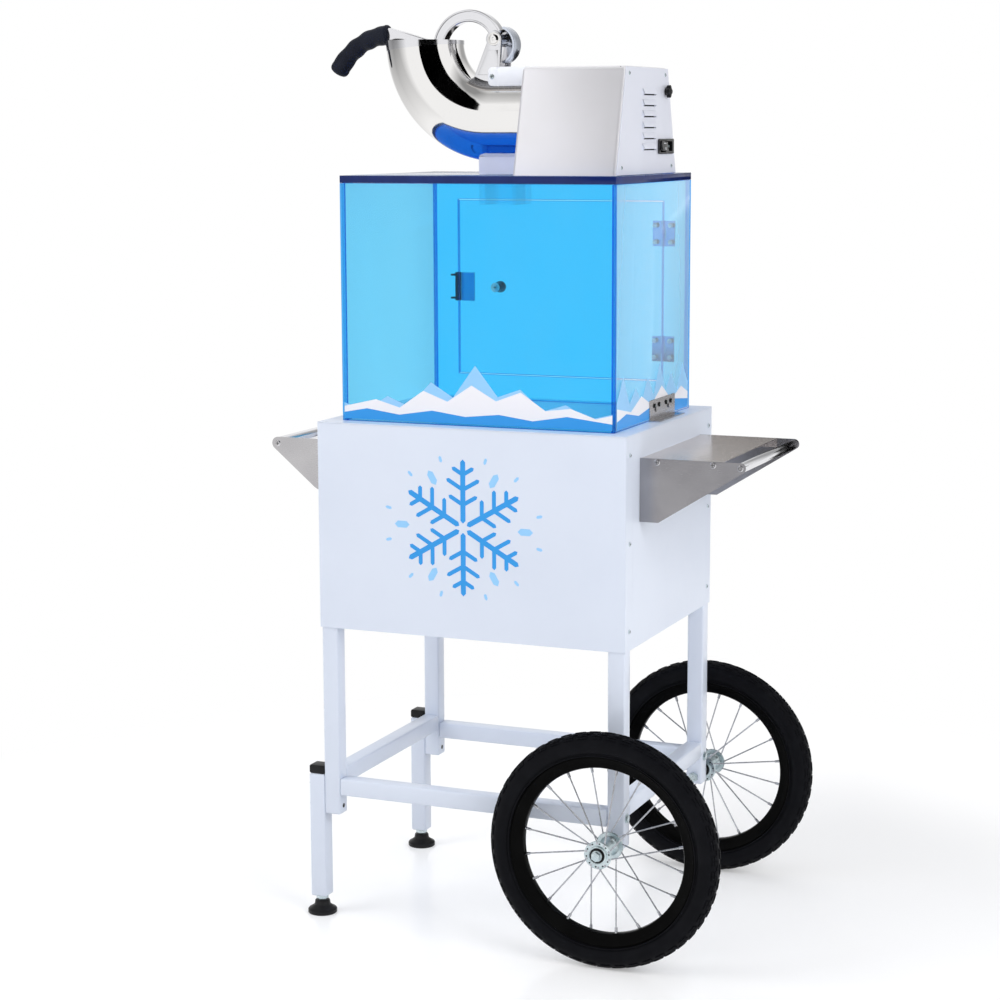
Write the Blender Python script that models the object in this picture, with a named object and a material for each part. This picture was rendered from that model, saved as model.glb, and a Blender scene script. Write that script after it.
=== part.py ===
"""Electric ice crusher with a clear ice case on a two-wheeled serving cart.

Metres, +Z up. The front panel faces -Y, the wheels are at +X and the push handle at -X.
The origin is on the floor in the middle of the cart's overall length and depth.
"""

import math

import bmesh
import bpy
from mathutils import Matrix, Vector

# Clearance between pieces that rest on each other
GAP = 0.0003

# Cabinet
CABINET_LENGTH = 0.568
CABINET_DEPTH = 0.460
CABINET_HEIGHT = 0.363
CABINET_BASE = 0.529
SHEET = 0.0015
FRONT_FLANGE = 0.035
BACK_FLANGE = 0.027
PANEL_SCREW_RADIUS = 0.0038
PANEL_SCREW_HEAD = 0.0015
PANEL_SCREW_INSET = 0.019
PANEL_SCREW_END = 0.033
PANEL_SCREW_ROWS = 3

# Legs and rails
LEG = 0.030
LEG_WALL = 0.002
LEG_BELOW_AXLE = 0.014
RAIL = 0.030
LONG_RAIL_RISE = 0.022
SIDE_RAIL_RISE = 0.037
FRAME_BOLT_RADIUS = 0.0065
FRAME_BOLT_HEAD = 0.004
SPARE_HOLE_RADIUS = 0.004

# Leg extensions and levelling feet
EXTENSION_ABOVE_BOLT = 0.020
EXTENSION_PLUG = 0.012
CAP_HEIGHT = 0.015
CAP_PLUG = 0.010
FOOT_RADIUS = 0.026
FOOT_RIM = 0.008
FOOT_HEIGHT = 0.024
FOOT_NECK_RADIUS = 0.0125
FOOT_NUT_RADIUS = 0.0105
FOOT_NUT_HEIGHT = 0.009
FOOT_STEM_RADIUS = 0.006
FOOT_STEM_LENGTH = 0.030

# Wheels and stub axles
WHEEL_RADIUS = 0.203
TYRE_SECTION = 0.0225
RIM_DEPTH = 0.0205
RIM_HALF_WIDTH = 0.0145
RIM_CROWN_HALF_WIDTH = 0.008
TYRE_SEAT = 0.005
HUB_HALF_LENGTH = 0.033
HUB_FLANGE_RADIUS = 0.024
HUB_FLANGE = 0.003
HUB_FLANGE_INSET = 0.003
HUB_BARREL_RADIUS = 0.0135
HUB_END_RADIUS = 0.016
SPOKES = 20
SPOKE_RADIUS = 0.001
SPOKE_LEAN = math.radians(24)
AXLE_RADIUS = 0.006
AXLE_COLLAR = 0.022
AXLE_COLLAR_RADIUS = 0.0095
AXLE_HEAD_RADIUS = 0.0085
AXLE_HEAD = 0.008
AXLE_NUT_RADIUS = 0.0095
AXLE_NUT = 0.008
WHEEL_STEPS = 40

# Push handle
HANDLE_ARM = 0.1145
HANDLE_TUBE_RADIUS = 0.0103
HANDLE_WIDTH = 0.326
HANDLE_TUBE_DROP = 0.0515
HANDLE_END_MARGIN = 0.0009
HANDLE_TOE = 0.042
HANDLE_TOE_DROP = 0.0865
HANDLE_BRACKET_DROP = 0.110
BRACKET_SHEET = 0.002
BRACKET_FLANGE = 0.018
BRACKET_SCREW_RADIUS = 0.0045
BRACKET_SCREW_HEAD = 0.0018

# Side shelf
SHELF_ARM = 0.1747
SHELF_BAR_RADIUS = 0.008
SHELF_WIDTH = 0.326
SHELF_BAR_DROP = 0.052
SHELF_END_MARGIN = 0.001
SHELF_TOE = 0.033
SHELF_BRACKET_DROP = 0.108
SHELF_SLOT = 0.0235
SHELF_LIP = 0.016
SHELF_SCREW_INSET = 0.006
SHELF_SCREW_NEAR = 0.0305

# Clear ice case
CASE_LENGTH = 0.503
CASE_DEPTH = 0.393
ACRYLIC = 0.006
LID = 0.0125
CASE_BRACKET_LENGTH = 0.135
CASE_BRACKET_HEIGHT = 0.036
CASE_BRACKET_FOOT = 0.020
CASE_BRACKET_SHIFT = 0.0425

# Rear door
DOOR_LENGTH = 0.400
DOOR_HEIGHT = 0.322
DOOR_RISE = 0.048
DOOR_HEADROOM = 0.052
DOOR_CLEARANCE = 0.0015
HINGE_HEIGHT = 0.046
HINGE_LEAF = 0.0165
HINGE_SHEET = 0.002
HINGE_KNUCKLE_RADIUS = 0.0035
HINGE_PIN_RADIUS = 0.0015
HINGE_INSET = 0.057
HINGE_PART = 0.0008
KNOB_RADIUS = 0.011
KNOB_LENGTH = 0.022
KNOB_NECK_RADIUS = 0.006
KNOB_SCREW_RADIUS = 0.003
KNOB_WASHER_RADIUS = 0.009
KNOB_WASHER = 0.002
KNOB_INSET = 0.074
CATCH_HEIGHT = 0.053
CATCH_LENGTH = 0.018
CATCH_DEPTH = 0.009
STRIKE_LENGTH = 0.027
STRIKE_DEPTH = 0.003

# Hopper elbow
HOPPER_X = -0.036
BEND_RADIUS = 0.142
HOPPER_RADIUS = 0.0685
HOPPER_WALL = 0.004
HOPPER_SIDES = 28
BEND_STEPS = 12
HOUSING_OFFSET = 0.086

# Ice outlet: hole in the elbow, neck, hole in the lid and chute
OUTLET_START = -0.015
OUTLET_LENGTH = 0.051
OUTLET_WIDTH = 0.060
NECK_HEIGHT = 0.021
NECK_LEFT_WALL = 0.010
NECK_RIGHT_WALL = 0.038
NECK_SIDE_WALL = 0.004
CHUTE_WALL = 0.009
CHUTE_SIDE_WALL = 0.006
CHUTE_DROP = 0.040

# Motor housing
HOUSING_LENGTH = 0.187
HOUSING_HEIGHT = 0.181
HOUSING_BASE_DEPTH = 0.308
HOUSING_TOP_DEPTH = 0.214
HOUSING_WALL = 0.0015
LOUVRES = 6
LOUVRE_PITCH = 0.0185
LOUVRE_LENGTH = 0.064
LOUVRE_SLOT = 0.005
LOUVRE_HOOD = 0.011
LOUVRE_DEPTH = 0.004
LOUVRE_SHIFT = 0.007
LOUVRE_RISE = 0.041

# Motor and cutter
MOTOR_RADIUS = 0.055
MOTOR_LENGTH = 0.120
MOTOR_END_RADIUS = 0.042
MOTOR_END = 0.012
SHAFT_RADIUS = 0.010
SHAFT_GRIP = 0.025
CUTTER_CLEARANCE = 0.0065
CUTTER_DISC = 0.005
CUTTER_BLADES = 3
CUTTER_BLADE_HEIGHT = 0.003
CUTTER_BLADE_WIDTH = 0.006
CUTTER_SLOT_WIDTH = 0.008
CUTTER_SETBACK = 0.005

# Power inlet, rocker and clamp knob
INLET_LENGTH = 0.079
INLET_HEIGHT = 0.026
INLET_FLANGE = 0.003
INLET_LIP = 0.003
INLET_DEPTH = 0.022
INLET_EDGE = 0.008796
INLET_RISE = 0.047
INLET_SOCKET_LENGTH = 0.025
INLET_SOCKET_HEIGHT = 0.017
INLET_SOCKET_DEPTH = 0.016
INLET_PRONG_WIDTH = 0.002
INLET_PRONG_HEIGHT = 0.005
INLET_PRONG_PITCH = 0.0075
ROCKER_LENGTH = 0.030
ROCKER_HALF_HEIGHT = 0.0088
ROCKER_REACH = 0.008
ROCKER_DISH = 0.0015
ROCKER_TILT = math.radians(7)
ROCKER_SIDE_CLEARANCE = 0.0012
CLAMP_RADIUS = 0.011
CLAMP_LOBES = 4
CLAMP_LOBE_DEPTH = 0.0025
CLAMP_THICKNESS = 0.010
CLAMP_STEM_RADIUS = 0.003
CLAMP_STEM = 0.014
CLAMP_EDGE = 0.022887
CLAMP_RISE = 0.141

# Pivot post and switch box
POST_WIDTH = 0.050
POST_CHEEK = 0.005
POST_EYE_RADIUS = 0.015
POST_FOOT_LEFT = 0.040
POST_FOOT_RIGHT = 0.012
POST_SHOULDER = 0.045
PIVOT_BOLT_RADIUS = 0.005
PIVOT_HEAD_RADIUS = 0.009
PIVOT_HEAD = 0.004
SWITCH_BOX_DEPTH = 0.080
SWITCH_BOX_RISE = 0.025
SWITCH_BOX_LEFT = 0.004
SWITCH_SCREW_RADIUS = 0.0045
SWITCH_SCREW_HEAD = 0.0015
SEAT_SINK = 0.005

# Crushing lever
RING_RADIUS = 0.0575
RING_SECTION = 0.021
RING_WIDTH = 0.020
RING_TILT = math.radians(196.4)
RING_STEPS = 18
LEVER_HUB_RADIUS = 0.013
PUSHER_ARM_SECTION = 0.016
PUSHER_ANGLE = math.radians(64)
PUSHER_CLEARANCE = 0.0045
PUSHER_THICKNESS = 0.005
PUSHER_OVERLAP = math.radians(6)
CAM_RADIUS = 0.033
CAM_DROP = 0.0105
CAM_THICKNESS = 0.004
CAM_START = math.radians(-72)
CAM_END = math.radians(72)
CAM_CLEARANCE = 0.0015
ARM_RADIUS = 0.0095
ARM_RISE = 0.0110
GRIP_INSET = -0.0013
GRIP_RADIUS = 0.0170
GRIP_WAIST = 0.0155
GRIP_LENGTH = 0.108
GRIP_DROOP = 0.057
GRIP_SOCKET = 0.028
GRIP_RINGS = 12
GRIP_SIDES = 14
FINGER_BUMPS = 4
FINGER_BUMP_HEIGHT = 0.0018

# Overlap given to shapes that are merged and to cutters that pass through
OVERLAP = 0.002

# Looks: colour, roughness, metallic
WHITE_PAINT = ((0.80, 0.83, 0.90), 0.35, 0.0)
STAINLESS = ((0.55, 0.55, 0.57), 0.28, 1.0)
POLISHED = ((0.78, 0.77, 0.75), 0.08, 1.0)
ZINC = ((0.62, 0.70, 0.72), 0.30, 1.0)
BLUE_ACRYLIC = ((0.10, 0.55, 0.95), 0.05, 0.0)
BLACK_PLASTIC = ((0.012, 0.012, 0.014), 0.45, 0.0)
BLACK_RUBBER = ((0.010, 0.010, 0.012), 0.75, 0.0)
BLACK_GLOSS = ((0.010, 0.010, 0.012), 0.20, 0.0)
WHITE_PLASTIC = ((0.85, 0.86, 0.88), 0.40, 0.0)
CAST_GREY = ((0.25, 0.26, 0.28), 0.55, 0.8)

# Places that follow from the sizes
SIDE_X = CABINET_LENGTH / 2
SIDE_Y = CABINET_DEPTH / 2
CABINET_TOP = CABINET_BASE + CABINET_HEIGHT
LEG_X = SIDE_X - SHEET - GAP - LEG / 2
LEG_Y = SIDE_Y - SHEET - GAP - LEG / 2
LEG_OUT_Y = LEG_Y + LEG / 2
AXLE_Z = WHEEL_RADIUS
LEG_END_Z = AXLE_Z - LEG_BELOW_AXLE
LONG_RAIL_Z = AXLE_Z + LONG_RAIL_RISE + RAIL / 2
SIDE_RAIL_Z = AXLE_Z + SIDE_RAIL_RISE + RAIL / 2
EXTENSION_X = -LEG_X - LEG - GAP
EXTENSION_END_Z = FOOT_HEIGHT + FOOT_NUT_HEIGHT
EXTENSION_TOP_Z = LONG_RAIL_Z + EXTENSION_ABOVE_BOLT
WHEEL_Y = LEG_OUT_Y + AXLE_COLLAR + HUB_HALF_LENGTH
TYRE_SEAT_RADIUS = WHEEL_RADIUS - 2 * TYRE_SECTION + TYRE_SEAT
HANDLE_REACH = SIDE_X + HANDLE_ARM + HANDLE_TUBE_RADIUS + HANDLE_END_MARGIN
CART_X = (HANDLE_REACH - LEG_X - WHEEL_RADIUS) / 2
CASE_X = CASE_LENGTH / 2
CASE_Y = CASE_DEPTH / 2
CASE_HEIGHT = DOOR_RISE + DOOR_HEIGHT + DOOR_HEADROOM
CASE_TOP = CABINET_TOP + CASE_HEIGHT
DOOR_Z = CABINET_TOP + DOOR_RISE + DOOR_HEIGHT / 2
HINGE_X = DOOR_LENGTH / 2 + DOOR_CLEARANCE / 2
HINGE_Y = CASE_Y + GAP + HINGE_KNUCKLE_RADIUS
TUBE_Z = CASE_TOP + NECK_HEIGHT + HOPPER_RADIUS
PIVOT_Z = TUBE_Z + BEND_RADIUS
HOUSING_X = HOPPER_X + HOUSING_OFFSET
HOUSING_END_X = HOUSING_X + HOUSING_LENGTH
OUTLET_X = HOPPER_X + OUTLET_START
CUTTER_X = OUTLET_X - CUTTER_SETBACK
WALL_FACE_X = HOUSING_END_X + GAP
CUTTER_RADIUS = HOPPER_RADIUS - HOPPER_WALL - CUTTER_CLEARANCE
PUSHER_RADIUS = HOPPER_RADIUS - HOPPER_WALL - PUSHER_CLEARANCE
HOUSING_LEAN = (HOUSING_BASE_DEPTH - HOUSING_TOP_DEPTH) / 2 / HOUSING_HEIGHT
INLET_REACH = HOUSING_BASE_DEPTH / 2 - HOUSING_LEAN * INLET_RISE - INLET_EDGE
INLET_SHIFT = INLET_REACH - INLET_LENGTH / 2
CLAMP_SHIFT = HOUSING_BASE_DEPTH / 2 - HOUSING_LEAN * CLAMP_RISE - CLAMP_EDGE

TURNS = {
    "X": Matrix.Rotation(math.pi / 2, 4, "Y"),
    "Y": Matrix.Rotation(-math.pi / 2, 4, "X"),
    "Z": Matrix.Identity(4),
}


def clear_scene():
    """Remove every object of the scene."""
    for item in list(bpy.data.objects):
        bpy.data.objects.remove(item, do_unlink=True)


def finish(item, look):
    """Give a piece its own plain material."""
    colour, roughness, metallic = look
    material = bpy.data.materials.new(item.name)
    material.use_nodes = True
    shader = material.node_tree.nodes["Principled BSDF"]
    shader.inputs["Base Color"].default_value = (*colour, 1.0)
    shader.inputs["Roughness"].default_value = roughness
    shader.inputs["Metallic"].default_value = metallic
    item.data.materials.append(material)


def link_mesh(name, bm, at, parent):
    """Turn a bmesh into an object of the scene."""
    bmesh.ops.recalc_face_normals(bm, faces=bm.faces)
    mesh = bpy.data.meshes.new(name)
    bm.to_mesh(mesh)
    bm.free()
    item = bpy.data.objects.new(name, mesh)
    bpy.context.scene.collection.objects.link(item)
    item.location = at
    item.parent = parent
    return item


def add_piece(name, bm, look, at=(0, 0, 0), parent=None, smooth=False):
    """Add one sub-part of the crusher."""
    item = link_mesh(name, bm, at, parent)
    if smooth:
        item.data.shade_smooth()
        item.data.set_sharp_from_angle(angle=math.radians(40))
    finish(item, look)
    return item


def add_tool(name, bm, at=(0, 0, 0), parent=None):
    """Add a helper shape that cuts or is merged, and isn't a piece."""
    item = link_mesh(name, bm, at, parent)
    item.hide_render = True
    item.display_type = "WIRE"
    return item


def combine(item, tool, operation):
    """Cut a helper shape out of a piece, or merge it with the piece."""
    modifier = item.modifiers.new(tool.name, "BOOLEAN")
    modifier.operation = operation
    modifier.solver = "EXACT"
    modifier.object = tool


def cut(item, bm, label="cut"):
    """Cut the shapes of a bmesh, given in the piece's own frame, out of it."""
    combine(item, add_tool(item.name + "_" + label, bm, parent=item), "DIFFERENCE")


def weld(item, bm, label="weld"):
    """Merge the shapes of a bmesh, given in the piece's own frame, with it."""
    combine(item, add_tool(item.name + "_" + label, bm, parent=item), "UNION")


def box(bm, low, high):
    """Add a cuboid between two opposite corners."""
    low, high = Vector(low), Vector(high)
    scale = Matrix.Diagonal((*(high - low), 1))
    bmesh.ops.create_cube(bm, size=1, matrix=Matrix.Translation((low + high) / 2) @ scale)


def rod(bm, start, end, radius, sides=12):
    """Add a solid cylinder between two points."""
    start, end = Vector(start), Vector(end)
    turn = Vector((0, 0, 1)).rotation_difference(end - start).to_matrix().to_4x4()
    bmesh.ops.create_cone(
        bm, cap_ends=True, segments=sides, radius1=radius, radius2=radius,
        depth=(end - start).length, matrix=Matrix.Translation((start + end) / 2) @ turn,
    )


def across(axis, u, v, along):
    """Point at (u, v) in the plane square to an axis, at a distance along it."""
    if axis == "X":
        return (along, u, v)
    if axis == "Y":
        return (u, along, v)
    return (u, v, along)


def prism(bm, outline, axis, start, end):
    """Extrude a closed outline along an axis."""
    base = [bm.verts.new(across(axis, u, v, start)) for u, v in outline]
    face = bm.faces.new(base)
    grown = bmesh.ops.extrude_face_region(bm, geom=[face])
    verts = [part for part in grown["geom"] if isinstance(part, bmesh.types.BMVert)]
    bmesh.ops.translate(bm, verts=verts, vec=across(axis, 0, 0, end - start))


def turned(bm, profile, axis, centre=(0, 0, 0), steps=24):
    """Spin a profile of (radius, height) points about an axis."""
    place = Matrix.Translation(centre) @ TURNS[axis]
    verts = [bm.verts.new(place @ Vector((radius, 0, height))) for radius, height in profile]
    edges = [bm.edges.new(pair) for pair in zip(verts, verts[1:])]
    if profile[0][0] > 0 or profile[-1][0] > 0:
        edges.append(bm.edges.new((verts[-1], verts[0])))
    before = set(bm.verts) - set(verts)
    bmesh.ops.spin(
        bm, geom=verts + edges, cent=centre, axis=place.to_3x3() @ Vector((0, 0, 1)),
        angle=2 * math.pi, steps=steps, use_merge=True,
    )
    made = [vert for vert in bm.verts if vert not in before]
    bmesh.ops.remove_doubles(bm, verts=made, dist=1e-7)


def sweep(bm, points, radii, sides):
    """Sweep a round section of changing radius along points in the XZ plane."""
    rings = []
    for index, (point, radius) in enumerate(zip(points, radii)):
        ahead = Vector(points[min(index + 1, len(points) - 1)])
        behind = Vector(points[max(index - 1, 0)])
        run = (ahead - behind).normalized()
        normal = Vector((-run[1], run[0]))
        ring = []
        for side in range(sides):
            angle = 2 * math.pi * side / sides
            place = Vector(point) + normal * radius * math.cos(angle)
            ring.append(bm.verts.new((place[0], radius * math.sin(angle), place[1])))
        rings.append(ring)
    for first, second in zip(rings, rings[1:]):
        for side in range(sides):
            after = (side + 1) % sides
            bm.faces.new((first[side], first[after], second[after], second[side]))
    bm.faces.new(rings[0])
    bm.faces.new(rings[-1])


def arc(centre, radius, start, end, steps):
    """Points along an arc."""
    return [
        (
            centre[0] + radius * math.cos(start + (end - start) * step / steps),
            centre[1] + radius * math.sin(start + (end - start) * step / steps),
        )
        for step in range(steps + 1)
    ]


def arc_band(centre, radius, section, start, end, steps):
    """Closed outline of a band that follows an arc."""
    outer = arc(centre, radius + section / 2, start, end, steps)
    inner = arc(centre, radius - section / 2, end, start, steps)
    return outer + inner


def build_legs(cart):
    """Four square tubes that stand from the axle height up through the cabinet."""
    top = CABINET_TOP - SHEET - GAP
    for side_x, side in ((-1, "left"), (1, "right")):
        for side_y, face in ((-1, "front"), (1, "back")):
            bm = bmesh.new()
            half = LEG / 2
            box(bm, (-half, -half, LEG_END_Z), (half, half, top))
            at = (side_x * LEG_X, side_y * LEG_Y, 0)
            leg = add_piece(f"leg_{face}_{side}", bm, WHITE_PAINT, at, cart)
            hollow = bmesh.new()
            inner = half - LEG_WALL
            box(hollow, (-inner, -inner, LEG_END_Z - OVERLAP), (inner, inner, top + OVERLAP))
            cut(leg, hollow, "hollow")
            detail_leg(leg, side_x, side_y)


def detail_leg(leg, side_x, side_y):
    """Right legs get the axle hole and a rail bolt, left legs a spare hole."""
    half = LEG / 2
    if side_x > 0:
        hole = bmesh.new()
        rod(hole, (0, -LEG, AXLE_Z), (0, LEG, AXLE_Z), AXLE_RADIUS + GAP, 16)
        cut(leg, hole, "axle")
        bolt = bmesh.new()
        start = (half - LEG_WALL / 2, 0, LONG_RAIL_Z)
        rod(bolt, start, (half + FRAME_BOLT_HEAD, 0, LONG_RAIL_Z), FRAME_BOLT_RADIUS)
        weld(leg, bolt, "bolt")
        return
    hole = bmesh.new()
    rod(hole, (0, 0, AXLE_Z), (LEG, 0, AXLE_Z), SPARE_HOLE_RADIUS)
    cut(leg, hole, "hole")


def build_rails(cart):
    """Two long rails and two side rails between the legs."""
    half = RAIL / 2
    long_end = LEG_X - LEG / 2 - GAP
    side_end = LEG_Y - LEG / 2 - GAP
    for side, name in ((-1, "front"), (1, "back")):
        bm = bmesh.new()
        box(bm, (-long_end, -half, -half), (long_end, half, half))
        at = (0, side * LEG_Y, LONG_RAIL_Z)
        rail = add_piece(f"rail_{name}", bm, WHITE_PAINT, at, cart)
        hollow_rail(rail, (long_end + OVERLAP, half - LEG_WALL, half - LEG_WALL))
    for side, name in ((-1, "left"), (1, "right")):
        bm = bmesh.new()
        box(bm, (-half, -side_end, -half), (half, side_end, half))
        at = (side * LEG_X, 0, SIDE_RAIL_Z)
        rail = add_piece(f"rail_{name}", bm, WHITE_PAINT, at, cart)
        hollow_rail(rail, (half - LEG_WALL, side_end + OVERLAP, half - LEG_WALL))


def hollow_rail(rail, reach):
    """Open a rail's inside from end to end."""
    bm = bmesh.new()
    box(bm, [-size for size in reach], reach)
    cut(rail, bm, "hollow")


def build_extension(cart, side, name):
    """Square tube bolted to a left leg, with its cap and its levelling foot."""
    half = LEG / 2
    inner = half - LEG_WALL
    place = (EXTENSION_X, side * LEG_Y, 0)
    bm = bmesh.new()
    box(bm, (-half, -half, EXTENSION_END_Z), (half, half, EXTENSION_TOP_Z))
    tube = add_piece(f"extension_{name}", bm, WHITE_PAINT, place, cart)
    hollow = bmesh.new()
    floor = EXTENSION_END_Z + EXTENSION_PLUG
    box(hollow, (-inner, -inner, floor), (inner, inner, EXTENSION_TOP_Z + OVERLAP))
    cut(tube, hollow, "hollow")
    bore = bmesh.new()
    bore_radius = FOOT_STEM_RADIUS + GAP
    rod(bore, (0, 0, EXTENSION_END_Z - OVERLAP), (0, 0, floor + OVERLAP), bore_radius, 16)
    cut(tube, bore, "bore")
    bolts = bmesh.new()
    for height in (LONG_RAIL_Z, LEG_END_Z + FRAME_BOLT_RADIUS * 2):
        start = (-half + LEG_WALL / 2, 0, height)
        rod(bolts, start, (-half - FRAME_BOLT_HEAD, 0, height), FRAME_BOLT_RADIUS)
    weld(tube, bolts, "bolts")
    build_cap(cart, place, name, half, inner)
    build_foot(cart, place, name)


def build_cap(cart, place, name, half, inner):
    """Push-in end cap of a leg extension."""
    bm = bmesh.new()
    low = EXTENSION_TOP_Z + GAP
    box(bm, (-half, -half, low), (half, half, low + CAP_HEIGHT))
    cap = add_piece(f"extension_cap_{name}", bm, BLACK_PLASTIC, place, cart)
    plug = bmesh.new()
    reach = inner - GAP
    box(plug, (-reach, -reach, low - CAP_PLUG), (reach, reach, low + CAP_HEIGHT / 2))
    weld(cap, plug, "plug")


def build_foot(cart, place, name):
    """Levelling foot with its lock nut and threaded stem."""
    nut_top = EXTENSION_END_Z - GAP
    bm = bmesh.new()
    profile = [
        (0, 0),
        (FOOT_RADIUS, 0),
        (FOOT_RADIUS, FOOT_RIM),
        (FOOT_NECK_RADIUS, FOOT_HEIGHT),
        (FOOT_NUT_RADIUS, FOOT_HEIGHT),
        (FOOT_NUT_RADIUS, nut_top),
        (FOOT_STEM_RADIUS, nut_top),
        (FOOT_STEM_RADIUS, nut_top + FOOT_STEM_LENGTH),
        (0, nut_top + FOOT_STEM_LENGTH),
    ]
    turned(bm, profile, "Z", steps=24)
    add_piece(f"foot_{name}", bm, BLACK_PLASTIC, place, cart, smooth=True)


def pan_outline(flange, side):
    """Outline, seen from above, of a panel with two flanges bent along the sides."""
    outer = side * SIDE_Y
    inner = side * (SIDE_Y - SHEET)
    tip = side * (SIDE_Y - flange)
    reach = SIDE_X - SHEET
    return [
        (-SIDE_X, outer), (SIDE_X, outer), (SIDE_X, tip), (reach, tip),
        (reach, inner), (-reach, inner), (-reach, tip), (-SIDE_X, tip),
    ]


def build_cabinet(cart):
    """White sheet panels screwed to the legs."""
    low = CABINET_BASE
    high = CABINET_TOP - SHEET - GAP
    for side, flange, name in ((-1, FRONT_FLANGE, "front"), (1, BACK_FLANGE, "back")):
        bm = bmesh.new()
        prism(bm, pan_outline(flange, side), "Z", low, high)
        panel = add_piece(f"cabinet_{name}", bm, WHITE_PAINT, parent=cart)
        weld(panel, panel_screws(side), "screws")
    for side, name in ((-1, "left"), (1, "right")):
        bm = bmesh.new()
        faces = sorted((side * SIDE_X, side * (SIDE_X - SHEET)))
        start = -SIDE_Y + FRONT_FLANGE + GAP
        end = SIDE_Y - BACK_FLANGE - GAP
        box(bm, (faces[0], start, low), (faces[1], end, high))
        add_piece(f"cabinet_side_{name}", bm, WHITE_PAINT, parent=cart)
    bm = bmesh.new()
    box(bm, (-SIDE_X, -SIDE_Y, CABINET_TOP - SHEET), (SIDE_X, SIDE_Y, CABINET_TOP))
    add_piece("cabinet_top", bm, WHITE_PAINT, parent=cart)
    build_cabinet_floor(cart)


def panel_screws(side):
    """Screw heads along both flanges of the front or the back panel."""
    bm = bmesh.new()
    place = side * (SIDE_Y - PANEL_SCREW_INSET)
    span = CABINET_HEIGHT - 2 * PANEL_SCREW_END
    for row in range(PANEL_SCREW_ROWS):
        height = CABINET_BASE + PANEL_SCREW_END + span * row / (PANEL_SCREW_ROWS - 1)
        for end in (-1, 1):
            start = (end * (SIDE_X - SHEET / 2), place, height)
            tip = (end * (SIDE_X + PANEL_SCREW_HEAD), place, height)
            rod(bm, start, tip, PANEL_SCREW_RADIUS, 10)
    return bm


def build_cabinet_floor(cart):
    """Cabinet floor, notched round the four legs."""
    edge_x = SIDE_X - SHEET - GAP
    edge_y = SIDE_Y - SHEET - GAP
    notch_x = LEG_X - LEG / 2 - GAP
    notch_y = LEG_Y - LEG / 2 - GAP
    quarter = [(edge_x, notch_y), (notch_x, notch_y), (notch_x, edge_y)]
    outline = list(quarter)
    outline += [(-x, y) for x, y in reversed(quarter)]
    outline += [(-x, -y) for x, y in quarter]
    outline += [(x, -y) for x, y in reversed(quarter)]
    bm = bmesh.new()
    prism(bm, outline, "Z", CABINET_BASE, CABINET_BASE + SHEET)
    add_piece("cabinet_bottom", bm, WHITE_PAINT, parent=cart)


def bracket_outline(side, arm, bar_z, end_radius, toe, toe_drop, drop):
    """Side view of a bracket that reaches from the cabinet out to a bar."""
    top = bar_z + end_radius
    tip = (toe, top - toe_drop)
    away = math.atan2(tip[1] - bar_z, tip[0] - arm)
    reach = math.hypot(tip[1] - bar_z, tip[0] - arm)
    touch = away + math.acos(end_radius / reach) - 2 * math.pi * (away > 0)
    points = [(GAP, top)] + arc((arm, bar_z), end_radius, math.pi / 2, touch, 8)
    points += [tip, (GAP, top - drop)]
    return [(side * (SIDE_X + u), v) for u, v in points]


def build_bracket(cart, name, side, face, outline, width, screws):
    """Bracket plate with a flange against the cabinet and its screw heads."""
    outer = face * width / 2
    inner = face * (width / 2 - BRACKET_SHEET)
    bm = bmesh.new()
    prism(bm, outline, "Y", inner, outer)
    plate = add_piece(name, bm, STAINLESS, parent=cart)
    top = outline[0][1]
    bottom = outline[-1][1]
    ends_y = sorted((outer - face * BRACKET_SHEET / 2, outer - face * BRACKET_FLANGE))
    ends_x = sorted((side * (SIDE_X + GAP), side * (SIDE_X + GAP + BRACKET_SHEET)))
    margin = BRACKET_SHEET
    flange = bmesh.new()
    box(flange, (ends_x[0], ends_y[0], bottom + margin), (ends_x[1], ends_y[1], top - margin))
    weld(plate, flange, "flange")
    heads = bmesh.new()
    for along, height in screws:
        start = (side * (SIDE_X + along), outer - face * BRACKET_SHEET / 2, height)
        tip = (start[0], outer + face * BRACKET_SCREW_HEAD, height)
        rod(heads, start, tip, BRACKET_SCREW_RADIUS)
    weld(plate, heads, "screws")


def build_bar(cart, name, x, z, radius, width):
    """Round bar between two bracket plates."""
    end = width / 2 - BRACKET_SHEET - GAP
    bm = bmesh.new()
    rod(bm, (0, -end, 0), (0, end, 0), radius, 20)
    add_piece(name, bm, STAINLESS, (x, 0, z), cart, smooth=True)


def build_handle(cart):
    """Push handle: two brackets and a tube."""
    bar_z = CABINET_TOP - HANDLE_TUBE_DROP
    end_radius = HANDLE_TUBE_RADIUS + HANDLE_END_MARGIN
    outline = bracket_outline(
        -1, HANDLE_ARM, bar_z, end_radius, HANDLE_TOE, HANDLE_TOE_DROP, HANDLE_BRACKET_DROP
    )
    for face, name in ((-1, "front"), (1, "back")):
        screws = [(HANDLE_ARM, bar_z)]
        node = f"handle_bracket_{name}"
        build_bracket(cart, node, -1, face, outline, HANDLE_WIDTH, screws)
    x = -SIDE_X - HANDLE_ARM
    build_bar(cart, "handle_tube", x, bar_z, HANDLE_TUBE_RADIUS, HANDLE_WIDTH)


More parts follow.
